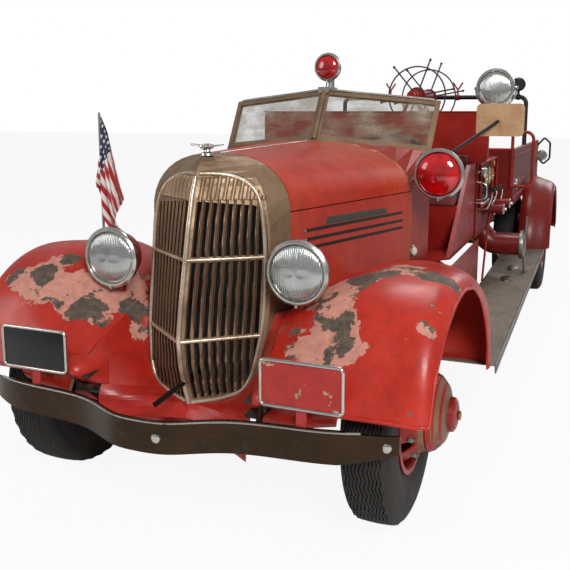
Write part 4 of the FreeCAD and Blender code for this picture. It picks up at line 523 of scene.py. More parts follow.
@dataclass(frozen=True)
class TreadPlate:
    """Worn tread sheet or timber, dusty and specked."""

    name: str
    base: Colour
    worn: Colour

    def build(self) -> bpy.types.Material:
        """Builds the material."""
        s = Shader(self.name)
        at = s.place()
        cloud = s.span(s.noise(at, 5.5, 9.0, 0.68), 0.40, 0.66)
        speck = s.span(s.noise(at, 70.0, 5.0, 0.7), 0.56, 0.66)
        colour = s.blend(cloud, tone(*self.base), tone(*self.worn))
        colour = s.blend(s.sum("MULTIPLY", speck, 0.55), colour, tone(0.22, 0.17, 0.14))
        s.feed("Base Color", colour)
        s.feed("Roughness", s.span(cloud, 0.0, 1.0, 0.5, 0.78))
        s.relief(s.sum("ADD", cloud, s.sum("MULTIPLY", speck, -0.5)), 0.0006)
        s.set(Metallic=0.2)
        return s.material


class Finishes:
    """Every finish on the vehicle, built once and handed out by name."""

    def __init__(self) -> None:
        """Builds the materials."""
        body = dict(base=(0.56, 0.09, 0.06), faded=(0.63, 0.15, 0.10))
        fender_patches = (
            Patch((0.685, -2.839, 1.043), 0.10, 0.20, 0.25),
            Patch((0.974, -2.762, 1.059), 0.11, 0.20, 0.25),
            Patch((0.976, -2.968, 0.995), 0.09, 0.17, 0.20),
            Patch((0.973, -3.053, 0.937), 0.07, 0.15, 0.20),
            Patch((1.038, -2.781, 1.028), 0.09, 0.17, 0.15),
            Patch((0.661, -3.064, 0.914), 0.09, 0.16, 0.20),
            Patch((0.438, -3.026, 0.836), 0.09, 0.18, 0.20),
            Patch((0.849, -2.724, 1.070), 0.22, 0.27, 0.05),
            Patch((0.583, -2.932, 0.977), 0.22, 0.34),
            Patch((0.702, -3.128, 0.852), 0.17, 0.30),
            Patch((0.595, -3.122, 0.826), 0.17, 0.30),
            Patch((-0.719, -3.029, 0.962), 0.26, 0.40),
            Patch((-0.430, -2.955, 0.880), 0.28, 0.42),
            Patch((-0.501, -3.046, 0.854), 0.09, 0.12, 0.30),
            Patch((-0.404, -3.070, 0.790), 0.08, 0.12, 0.30),
            Patch((-0.355, -2.931, 0.831), 0.08, 0.12, 0.30),
            Patch((-0.707, -2.873, 1.039), 0.09, 0.14, 0.30),
            Patch((-0.774, -3.007, 0.985), 0.08, 0.12, 0.28),
        )
        hood_patches = (
            Patch((0.56, front(0.80), 1.40), 0.14, 0.14),
        )
        rows = (
            WornPaint("hood_red", (0.68, 0.16, 0.08), (0.75, 0.26, 0.15), primer_from=0.74, gloss=0.25,
                      patches=hood_patches, bare=(0.36, 0.30, 0.27)),
            WornPaint("body_red", **body, primer_from=0.70, bare_from=0.56),
            # A darker copy of the body paint for the pump, the hose body and the rear fenders: painted shade
            # over the rear.
            WornPaint("rear_red", (0.44, 0.07, 0.05), (0.52, 0.12, 0.09), primer_from=0.70, bare_from=0.56),
            WornPaint("fender_red", (0.64, 0.11, 0.07), (0.74, 0.19, 0.13), primer_from=0.665,
                      bare_from=0.68, scale=4.0, patches=fender_patches, primer=(0.80, 0.55, 0.48)),
            Metallic("bronze", (0.56, 0.46, 0.36), (0.38, 0.28, 0.20)),
            Metallic("bronze_bar", (0.38, 0.25, 0.17), (0.24, 0.15, 0.10), roughness=0.26),
            Metallic("bronze_bright", (0.80, 0.74, 0.66), (0.56, 0.47, 0.38), roughness=0.20),
            Metallic("bronze_hub", (0.58, 0.46, 0.35), (0.38, 0.28, 0.20), roughness=0.34),
            Metallic("mirror_tan", (0.80, 0.66, 0.50), (0.66, 0.50, 0.36), roughness=0.45),
            WornPaint("chassis_dark", (0.13, 0.12, 0.11), (0.20, 0.17, 0.15), primer=(0.30, 0.22, 0.17),
                      bare=(0.28, 0.24, 0.21), primer_from=0.62, gloss=0.5),
            WornPaint("black_gloss", (0.06, 0.06, 0.06), (0.11, 0.10, 0.10), primer=(0.22, 0.17, 0.14),
                      bare=(0.30, 0.26, 0.24), primer_from=0.70, gloss=0.3),
            Plating("chrome_dull", (0.80, 0.79, 0.76), rust_from=0.62),
            # The bumper's chrome has a dark brown base as painted reflection of dark surroundings; the rust
            # patches on it are real wear.
            Plating("chrome_rusty", (0.27, 0.21, 0.16), rust=(0.15, 0.10, 0.07), rust_from=0.57,
                    roughness=0.16, scale=14.0),
            Plating("reel_rust", (0.26, 0.19, 0.15), rust=(0.30, 0.15, 0.10), rust_from=0.46, roughness=0.45,
                    metallic=0.4),
            Plating("mirror_silver", (0.86, 0.87, 0.87), rust_from=0.74, roughness=0.03),
            Plating("steel_bare", (0.56, 0.55, 0.53), rust_from=0.60, roughness=0.35),
            Plating("iron_cast", (0.30, 0.28, 0.26), rust_from=0.50, roughness=0.6, metallic=0.5),
            Plating("brass_old", (0.74, 0.58, 0.33), rust=(0.34, 0.26, 0.15), rust_from=0.58,
                    roughness=0.26),
            TreadPlate("board_tread", (0.46, 0.41, 0.36), (0.58, 0.54, 0.49)),
            TreadPlate("timber_old", (0.36, 0.26, 0.19), (0.46, 0.35, 0.26)),
            # Dark matt strips for the hood's pressed grooves: painted shade of the recesses.
            Rubber("groove_dark", (0.10, 0.08, 0.07), (0.20, 0.15, 0.13)),
            Rubber("patch_grey", (0.22, 0.23, 0.20), (0.30, 0.30, 0.26)),
            OldGlass("pane_old"),
            Rubber("tyre_rubber", (0.085, 0.075, 0.065), (0.26, 0.21, 0.16)),
            Leather("seat_red", (0.52, 0.17, 0.14)),
            StripedCloth("flag_cloth"),
            WornPaint("plate_red", (0.62, 0.12, 0.11), (0.66, 0.18, 0.15), primer=(0.70, 0.60, 0.50),
                      primer_from=0.60, bare_from=0.70, scale=16.0),
            WornPaint("plate_black", (0.05, 0.06, 0.06), (0.09, 0.10, 0.10), primer=(0.30, 0.30, 0.28),
                      primer_from=0.72, scale=16.0),
            Lens("lens_red", (0.80, 0.02, 0.06), (0.52, 0.00, 0.03), scale=12.0),
            Lens("lens_clear", (0.78, 0.79, 0.78), (0.62, 0.63, 0.62), metallic=0.85, roughness=0.18,
                 scale=5.0, fluted=True),
            Rubber("panel_black", (0.05, 0.05, 0.05), (0.16, 0.15, 0.14)),
            Rubber("dial_face", (0.82, 0.81, 0.76), (0.66, 0.62, 0.54)),
        )
        self.named = {row.name: row.build() for row in rows}

    def __getitem__(self, name: str) -> bpy.types.Material:
        """The material of that name."""
        return self.named[name]


@dataclass
class Assembly:
    """A sub-assembly, and the steps that make its pieces: a primitive, shaped as by hand in edit mode."""

    finishes: Finishes

    @staticmethod
    def clear() -> None:
        """Leaves edit mode and deselects everything."""
        if bpy.context.mode != "OBJECT":
            bpy.ops.object.mode_set(mode="OBJECT")
        bpy.ops.object.select_all(action="DESELECT")

    @staticmethod
    def opened() -> None:
        """Enters edit mode with the whole mesh selected."""
        bpy.ops.object.mode_set(mode="EDIT")
        bpy.ops.mesh.select_all(action="SELECT")

    @staticmethod
    def closed(gap: float) -> None:
        """Merges points within a gap, turns the faces outwards and leaves edit mode."""
        bpy.ops.mesh.select_all(action="SELECT")
        bpy.ops.mesh.remove_doubles(threshold=gap)
        bpy.ops.mesh.normals_make_consistent(inside=False)
        bpy.ops.object.mode_set(mode="OBJECT")

    @staticmethod
    def facing(way: Vector) -> Matrix:
        """The turn that brings +Z to a direction."""
        return Vector(way).to_track_quat("Z", "Y").to_matrix().to_4x4()

    def turned(self, stations: Sequence[tuple[float, float]], at: Vector, axis: Vector,
               steps: int = 40) -> Piece:
        """Turns a profile round an axis, ring by ring.

        Args:
            stations: (distance along the axis, radius) from one end to the other; a radius of 0 closes it.
            at: the axis's origin.
            axis: the axis's direction.
            steps: faces round the ring.

        Returns:
            The new piece.
        """
        self.clear()
        least = 2e-5
        start, wide = stations[0]
        wide = max(wide, least)
        bpy.ops.mesh.primitive_circle_add(vertices=steps, radius=wide, fill_type="NOTHING",
                                          location=(0, 0, 0))
        piece = bpy.context.object
        self.opened()
        for along, radius in stations[1:]:
            radius = max(radius, least)
            bpy.ops.mesh.extrude_region_move(TRANSFORM_OT_translate={"value": (0, 0, along - start)})
            ratio = radius / wide
            bpy.ops.transform.resize(value=(ratio, ratio, 1), center_override=(0, 0, 0))
            start, wide = along, radius
        self.closed(least * 3)
        lift = Matrix.Translation((0, 0, stations[0][0]))
        piece.data.transform(Matrix.Translation(at) @ self.facing(axis) @ lift)
        return piece

    def slab(self, low: Sequence[float], high: Sequence[float], bevel: float = 0.002,
             rounds: int = 2) -> Piece:
        """A block with its edges rounded.

        Args:
            low: its lowest corner.
            high: its highest corner.
            bevel: how far its edges are cut back.
            rounds: faces across each rounded edge.

        Returns:
            The new piece.
        """
        self.clear()
        centre = [(a + b) / 2 for a, b in zip(low, high)]
        bpy.ops.mesh.primitive_cube_add(size=1, location=centre)
        piece = bpy.context.object
        piece.scale = [b - a for a, b in zip(low, high)]
        bpy.ops.object.transform_apply(location=True, rotation=True, scale=True)
        self.opened()
        bpy.ops.mesh.bevel(offset=bevel, segments=rounds, affect="EDGES")
        bpy.ops.object.mode_set(mode="OBJECT")
        return piece

    def bar(self, points: Sequence[Sequence[float]], radius: float, bend: float = 0.0, loop: bool = False,
            sides: int = 4) -> Piece:
        """A round bar along a line of points.

        Args:
            points: the line, from one end to the other.
            radius: the bar's radius.
            bend: the radius that its corners are rounded to.
            loop: whether its ends meet.
            sides: how finely its section is divided.

        Returns:
            The new piece.
        """
        self.clear()
        bpy.ops.curve.primitive_bezier_curve_add(location=(0, 0, 0))
        curve = bpy.context.object.data
        curve.splines.clear()
        run = [Vector(point) for point in points]
        if bend:
            run = self.rounded(run, bend, loop)
        spline = curve.splines.new("POLY")
        spline.points.add(len(run) - 1)
        for knot, point in zip(spline.points, run):
            knot.co = (*point, 1.0)
        spline.use_cyclic_u = loop
        curve.bevel_depth = radius
        curve.bevel_resolution = sides
        curve.use_fill_caps = True
        bpy.ops.object.convert(target="MESH")
        piece = bpy.context.object
        piece.data.materials.clear()
        self.opened()
        self.closed(1e-5)
        return piece

    @staticmethod
    def rounded(points: list[Vector], bend: float, loop: bool = False) -> list[Vector]:
        """Rounds the corners of a line of points.

        Args:
            points: the line, from one end to the other.
            bend: the radius of its corners, at most 0.45 of the shorter run beside one.
            loop: whether its ends meet.

        Returns:
            The finer line.
        """
        made = []
        last = len(points)
        most, steps = 0.45, 6
        for i, here in enumerate(points):
            if not loop and i in (0, last - 1):
                made.append(here)
                continue
            before, after = points[i - 1], points[(i + 1) % last]
            into, out = (before - here), (after - here)
            cut = min(bend, into.length * most, out.length * most)
            a, b = here + into.normalized() * cut, here + out.normalized() * cut
            for k in range(steps + 1):
                t = k / steps
                made.append(a * (1 - t) ** 2 + here * 2 * t * (1 - t) + b * t**2)
        return made

    def shaped(self, outline: Sequence[Sequence[float]], run: Vector, bevel: float = 0.0) -> Piece:
        """A flat outline extruded along a run.

        Args:
            outline: its corners in order.
            run: how far and which way it is extruded.
            bevel: how far its edges are cut back.

        Returns:
            The new piece.
        """
        self.clear()
        bpy.ops.mesh.primitive_circle_add(vertices=len(outline), radius=0.1, fill_type="NGON",
                                          location=(0, 0, 0))
        piece = bpy.context.object
        for vertex, point in zip(piece.data.vertices, outline):
            vertex.co = point
        self.opened()
        bpy.ops.mesh.extrude_region_move(TRANSFORM_OT_translate={"value": tuple(run)})
        bpy.ops.mesh.select_all(action="SELECT")
        bpy.ops.mesh.normals_make_consistent(inside=False)
        if bevel:
            bpy.ops.mesh.bevel(offset=bevel, segments=2, affect="EDGES")
        bpy.ops.object.mode_set(mode="OBJECT")
        return piece

    @staticmethod
    def thickened(piece: Piece, thickness: float) -> Piece:
        """Gives the active sheet its thickness."""
        solid = piece.modifiers.new("thickness", "SOLIDIFY")
        solid.thickness = thickness
        bpy.ops.object.modifier_apply(modifier=solid.name)
        return piece

    def sheet(self, columns: int, rows: int, shape: Callable[[float, float], Vector],
              thickness: float) -> Piece:
        """A thin sheet, bent from a grid.

        Args:
            columns: its faces across.
            rows: its faces down.
            shape: gives the point for each pair of shares from 0 to 1, across and down.
            thickness: the sheet's thickness.

        Returns:
            The new piece.
        """
        self.clear()
        bpy.ops.mesh.primitive_grid_add(x_subdivisions=columns, y_subdivisions=rows, size=1,
                                        location=(0, 0, 0))
        piece = bpy.context.object
        for vertex in piece.data.vertices:
            vertex.co = shape(vertex.co.x + 0.5, vertex.co.y + 0.5)
        return self.thickened(piece, thickness)

    @staticmethod
    def copy(piece: Piece, move: Matrix) -> Piece:
        """A copy with its own mesh, moved by a matrix.

        Args:
            piece: what is copied.
            move: where to. A mirror's faces are turned outwards again.

        Returns:
            The copy.
        """
        made = piece.copy()
        made.data = piece.data.copy()
        bpy.context.scene.collection.objects.link(made)
        made.data.transform(move)
        if move.determinant() < 0:
            made.data.flip_normals()
        return made

    def repeated(self, piece: Piece, moves: Iterable[Matrix]) -> list[Piece]:
        """Copies of a piece, one for each move, in its stead.

        Args:
            piece: what is copied and then removed.
            moves: where the copies go.

        Returns:
            The copies in order.
        """
        made = [self.copy(piece, move) for move in moves]
        bpy.data.objects.remove(piece)
        return made

    def both(self, pieces: Sequence[Piece]) -> list[Piece]:
        """Pieces of one side, and then their mirror images on the other."""
        return [*pieces, *[self.copy(piece, Matrix.Scale(-1, 4, ACROSS)) for piece in pieces]]

    def domes(self, places: Iterable[tuple[Vector, Vector]], radius: float, height: float,
              steps: int = 10) -> list[Piece]:
        """Round bolt or rivet heads.

        Args:
            places: (point, outward direction) of each.
            radius: a head's radius.
            height: how far it stands out.
            steps: faces round it.

        Returns:
            The heads.
        """
        profile = [(-0.001, radius), (height * 0.45, radius * 0.92), (height, 0.0)]
        head = self.turned(profile, Vector(), UP, steps)
        return self.repeated(head, [Matrix.Translation(point) @ self.facing(out) for point, out in places])

    def done(self, pieces: Sequence[Piece], name: str, finish: str, slot: Slot, body: str = "chassis",
             angle: float = 35.0) -> Piece:
        """Joins, names, smooths and dresses finished pieces, and lets them ride on a CAD body.

        Args:
            pieces: what becomes one piece.
            name: its name.
            finish: the name of its finish.
            slot: its material slot in the record; not used.
            body: the CAD body that it moves with.
            angle: the steepest edge, in degrees, that is still shaded smooth.

        Returns:
            The one piece.
        """
        self.clear()
        for piece in pieces:
            piece.select_set(True)
        piece = pieces[0]
        bpy.context.view_layer.objects.active = piece
        if len(pieces) > 1:
            bpy.ops.object.join()
        bpy.ops.object.shade_smooth_by_angle(angle=math.radians(angle))
        piece.name = name
        piece.data.materials.clear()
        piece.data.materials.append(self.finishes[finish])
        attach(piece, body)
        LOG.info("%s: %d faces", name, len(piece.data.polygons))
        return piece


class FrameDress:
    """Finishes of the CAD nodes that stay in view."""

    BY_SLOT = {
        Slot.HOOD: "hood_red",
        Slot.BODY: "body_red",
        Slot.FENDER: "fender_red",
        Slot.BRONZE: "bronze",
        Slot.CHASSIS: "chassis_dark",
        Slot.BLACK: "black_gloss",
        Slot.CHROME: "chrome_dull",
        Slot.STEEL: "steel_bare",
        Slot.IRON: "iron_cast",
        Slot.BRASS: "brass_old",
        Slot.BOARD: "board_tread",
        Slot.PANE: "pane_old",
        Slot.TYRE: "tyre_rubber",
        Slot.LEATHER: "seat_red",
        Slot.CLOTH: "flag_cloth",
        Slot.PLATE: "plate_red",
    }
    BY_NODE = {
        # the bumper's dark chrome is painted reflection, with real rust patches
        "bumper": "chrome_rusty",
        "headlamps": "body_red",
        "hood_hinge": "brass_old",
        "mirror": "mirror_tan",
        "hose_reel": "reel_rust",
        # the rear parts take the darker copy of the body paint, as painted shade
        "pump_house": "rear_red",
        "pump": "rear_red",
        "hose_body": "rear_red",
        "rear_fenders": "rear_red",
    }

    def __init__(self, finishes: Finishes) -> None:
        """Gives each CAD node its finish."""
        slots = {row["node"]: row["material_slot"] for row in frame["record"]["subparts"]}
        for name, node in frame["nodes"].items():
            finish = self.BY_NODE.get(name) or self.BY_SLOT[Slot(slots[name])]
            node.data.materials.clear()
            node.data.materials.append(finishes[finish])


@dataclass(frozen=True)
class StudioLamp:
    """One soft round area lamp aimed at a point."""

    name: str
    at: Place
    aim: Place
    size: float
    power: float

    def build(self) -> None:
        """Hangs the lamp."""
        data = bpy.data.lights.new(self.name, "AREA")
        data.shape = "DISK"
        data.size = self.size
        data.energy = self.power
        made = bpy.data.objects.new(self.name, data)
        bpy.context.scene.collection.objects.link(made)
        look = (Vector(self.aim) - Vector(self.at)).to_track_quat("-Z", "Y").to_matrix().to_4x4()
        made.matrix_world = Matrix.Translation(self.at) @ look


@dataclass
class Studio:
    """Floor, backdrop, lamps and the camera at the photograph's viewing angle."""

    eye: Place = (1.512, -5.625, 1.682)
    yaw: float = 21.232
    pitch: float = 9.293
    roll: float = 0.147
    sensor: float = 36.0
    focal_pixels: float = 740.5
    picture: float = 570.0
    centre_pixels: tuple[float, float] = (305.55, 238.10)
    floor_size: float = 120.0
    floor_tone: float = 0.86
    floor_glow: float = 0.92
    light_level: float = 0.20
    glossy_share: float = 0.22
    lamps: tuple[StudioLamp, ...] = (
        StudioLamp("key", (4.5, -8.0, 5.5), (0.3, -2.0, 0.9), 3.0, 520.0),
        StudioLamp("fill", (-6.0, -6.5, 3.5), (-0.3, -2.0, 0.8), 4.0, 150.0),
        StudioLamp("top", (0.5, 0.5, 6.5), (0.0, -1.5, 0.9), 2.5, 110.0),
        StudioLamp("back", (3.0, 7.5, 4.5), (0.0, 1.5, 0.9), 3.0, 90.0),
    )

    def build(self) -> None:
        """Builds the studio."""
        self.camera()
        self.floor()
        self.world()
        for lamp in self.lamps:
            lamp.build()
        bpy.context.scene.view_settings.view_transform = "Standard"

    def camera(self) -> None:
        """Places the camera by its solved pose."""
        data = bpy.data.cameras.new("camera")
        made = bpy.data.objects.new("camera", data)
        bpy.context.scene.collection.objects.link(made)
        yaw, pitch = math.radians(self.yaw), math.radians(self.pitch)
        look = Vector((-math.sin(yaw) * math.cos(pitch), math.cos(yaw) * math.cos(pitch), -math.sin(pitch)))
        turn = look.to_track_quat("-Z", "Y").to_matrix().to_4x4()
        tilt = Matrix.Rotation(math.radians(self.roll), 4, "Z")
        made.matrix_world = Matrix.Translation(self.eye) @ turn @ tilt
        data.sensor_width = self.sensor
        data.lens = self.focal_pixels / self.picture * self.sensor
        data.shift_x = (self.picture / 2 - self.centre_pixels[0]) / self.picture
        data.shift_y = (self.centre_pixels[1] - self.picture / 2) / self.picture
        data.clip_end = 200.0
        bpy.context.scene.camera = made

    def floor(self) -> None:
        """A wide pale floor that keeps the vehicle's soft shadow."""
        Assembly.clear()
        bpy.ops.mesh.primitive_plane_add(size=self.floor_size, location=(0, 0, 0))
        made = bpy.context.object
        made.name = "studio_floor"
        s = Shader("floor_pale")
        s.set(Roughness=0.9, Base_Color=(self.floor_tone, self.floor_tone, self.floor_tone, 1.0))
        path = s.node("ShaderNodeLightPath").outputs["Is Camera Ray"]
        glow = s.node("ShaderNodeEmission", {"Color": (1, 1, 1, 1), "Strength": 1.0})
        share = s.sum("MULTIPLY", path, self.floor_glow)
        both = s.node("ShaderNodeMixShader", {0: share, 1: s.skin.outputs[0], 2: glow.outputs[0]})
        s.tree.links.new(both.outputs[0], s.output.inputs["Surface"])
        made.data.materials.append(s.material)

    def world(self) -> None:
        """A white backdrop, and a plainer level of light on the vehicle."""
        world = bpy.data.worlds.new("studio")
        bpy.context.scene.world = world
        world.use_nodes = True
        sheet = NodeSheet(world.node_tree)
        path = sheet.node("ShaderNodeLightPath").outputs
        seen = sheet.sum("MAXIMUM", path["Is Camera Ray"], path["Is Transmission Ray"])
        shone = sheet.sum("MULTIPLY", path["Is Glossy Ray"], self.glossy_share)
        share = sheet.sum("MAXIMUM", seen, shone)
        level = sheet.node("ShaderNodeMapRange", {0: share, 3: self.light_level, 4: 1.0}).outputs[0]
        sky = sheet.node("ShaderNodeBackground", {"Color": (1.0, 1.0, 1.0, 1.0), "Strength": level})
        sheet.node("ShaderNodeOutputWorld", {"Surface": sky.outputs[0]})


@dataclass
class Tyres(Assembly):
    """Six tyres with zigzag-grooved treads, three on a side."""

    radius: float = 0.473
    bead: float = 0.2545
    seat: float = 0.0805
    slices: int = 160
    crowning: float = 0.9
    groove: float = 0.008
    groove_half: float = 0.0028
    groove_foot: float = 0.0012
    grooves: tuple[float, ...] = (0.066, 0.052, 0.038, 0.024, 0.008)
    zigzag: float = 0.0035
    tread_depth: float = 0.0125
    tread_half: float = 0.071
    front_track: float = 0.782
    rear_tracks: tuple[float, float] = (0.747, 0.997)
    wall: tuple[tuple[float, float], ...] = (
        (-0.094, 0.30), (-0.103, 0.335), (-0.105, 0.365), (-0.103, 0.39), (-0.1005, 0.402), (-0.1015, 0.408),
        (-0.098, 0.428), (-0.093, 0.441), (-0.086, 0.4535), (-0.078, 0.4605),
    )

    def crown(self, x: float) -> float:
        """The tread's radius at a distance from its middle."""
        return self.radius - self.crowning * x * x

    def profile(self) -> list[tuple[float, float]]:
        """The section: (across, radius), from the inner bead over the tread to the outer bead and back."""
        left = [(-self.seat + 0.012, self.bead), (-self.seat, self.bead + 0.004), (-self.seat - 0.003, 0.276)]
        left += self.wall
        for x in self.grooves:
            deep = self.crown(x) - self.groove
            left += [(-x - self.groove_half, self.crown(x)), (-x - self.groove_foot, deep)]
            left += [(-x + self.groove_foot, deep), (-x + self.groove_half, self.crown(x))]
        right = [(-a, b) for a, b in reversed(left)]
        inside = [(self.seat - 0.012, self.bead + 0.02), (-self.seat + 0.012, self.bead + 0.02), left[0]]
        return left + right + inside

    def build(self) -> None:
        """Builds one tyre and copies it to its six places."""
        first = self.turned(self.profile(), Vector(), ACROSS, self.slices)
        step = 2 * math.pi / self.slices
        for vertex in first.data.vertices:
            away = math.hypot(vertex.co.y, vertex.co.z)
            if away > self.radius - self.tread_depth and abs(vertex.co.x) < self.tread_half:
                turn = round(math.atan2(vertex.co.z, vertex.co.y) / step)
                vertex.co.x += self.zigzag * (1 if (turn // 2) % 2 else -1)
        places = []
        for side in Side:
            places.append((f"tyre_front_{side.word}_tread", side * self.front_track, FRONT_AXLE,
                           f"front_{side.word}_wheel", f"tyre_front_{side.word}"))
        for side in Side:
            for track, row in zip(self.rear_tracks, ("inner", "outer")):
                places.append((f"tyre_rear_{side.word}_{row}", side * track, REAR_AXLE,
                               f"rear_{side.word}_wheels", f"tyres_rear_{side.word}"))
        for name, x, y, body, node in places:
            piece = self.copy(first, Matrix.Translation((x, y, AXLE_HEIGHT)))
            self.done([piece], name, "tyre_rubber", Slot.TYRE, body, 28.0)
            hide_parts(node)
        bpy.data.objects.remove(first)


@dataclass
class Flag(Assembly):
    """A small flag hanging in folds from its staff."""

    fly: float = 0.457
    hoist: float = 0.305
    at: tuple[float, float] = (-0.652, FRONT_AXLE)
    top: float = 1.685
    columns: int = 54
    rows: int = 36
    frames: int = 70
    thickness: float = 0.0006

    def start(self, u: float, v: float) -> Vector:
        """Where a point of the cloth starts, rippled and half let down, from its shares along and up."""
        ripple = 0.006 * math.sin(u * 19.0 + v * 5.0) * u + 0.02 * u * v
        lift = 0.62 * u
        return Vector((u * self.fly * 0.80, ripple - u * 0.10, (v - 1) * self.hoist - lift * self.fly * 0.5))

    def build(self) -> None:
        """Hangs a flat cloth from its pinned edge until it has settled."""
        self.clear()
        bpy.ops.mesh.primitive_grid_add(x_subdivisions=self.columns, y_subdivisions=self.rows, size=1,
                                        calc_uvs=True)
        piece = bpy.context.object
        pinned = piece.vertex_groups.new(name="hoist")
        for vertex in piece.data.vertices:
            u, v = vertex.co.x + 0.5, vertex.co.y + 0.5
            if u < 1e-4:
                pinned.add([vertex.index], 1.0, "REPLACE")
            vertex.co = self.start(u, v)
        cloth = piece.modifiers.new("hang", "CLOTH")
        cloth.settings.quality = 7
        cloth.settings.mass = 0.12
        cloth.settings.tension_stiffness = 25.0
        cloth.settings.compression_stiffness = 25.0
        cloth.settings.shear_stiffness = 12.0
        cloth.settings.bending_stiffness = 0.06
        cloth.settings.air_damping = 3.0
        cloth.settings.vertex_group_mass = "hoist"
        cloth.collision_settings.use_self_collision = True
        cloth.collision_settings.self_distance_min = 0.003
        cloth.point_cache.frame_start = 1
        cloth.point_cache.frame_end = self.frames
        scene = bpy.context.scene
        scene.frame_start, scene.frame_end = 1, self.frames
        for number in range(1, self.frames + 1):
            scene.frame_set(number)
        self.clear()
        piece.select_set(True)
        bpy.context.view_layer.objects.active = piece
        bpy.ops.object.modifier_apply(modifier=cloth.name)
        scene.frame_set(1)
        piece.vertex_groups.clear()
        piece.data.transform(Matrix.Translation((self.at[0], self.at[1], self.top)))
        self.thickened(piece, self.thickness)
        self.done([piece], "flag_cloth_hung", "flag_cloth", Slot.CLOTH, "chassis", 60.0)
        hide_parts("flag")


def over(node: str, x: float, y: float) -> Vector:
    """The highest point of a CAD node over a place."""
    return touch([node], Vector((x, y, RAY_TOP)), -UP)[0]


def ahead(node: str, x: float, z: float) -> Vector:
    """The foremost point of a CAD node at a place across and a height."""
    return touch([node], Vector((x, RAY_FRONT, z)), ALONG)[0]


def beside(node: str, side: int, y: float, z: float) -> Vector:
    """The outermost point of a CAD node on one side."""
    return touch([node], Vector((side * RAY_SIDE, y, z)), -ACROSS * side)[0]


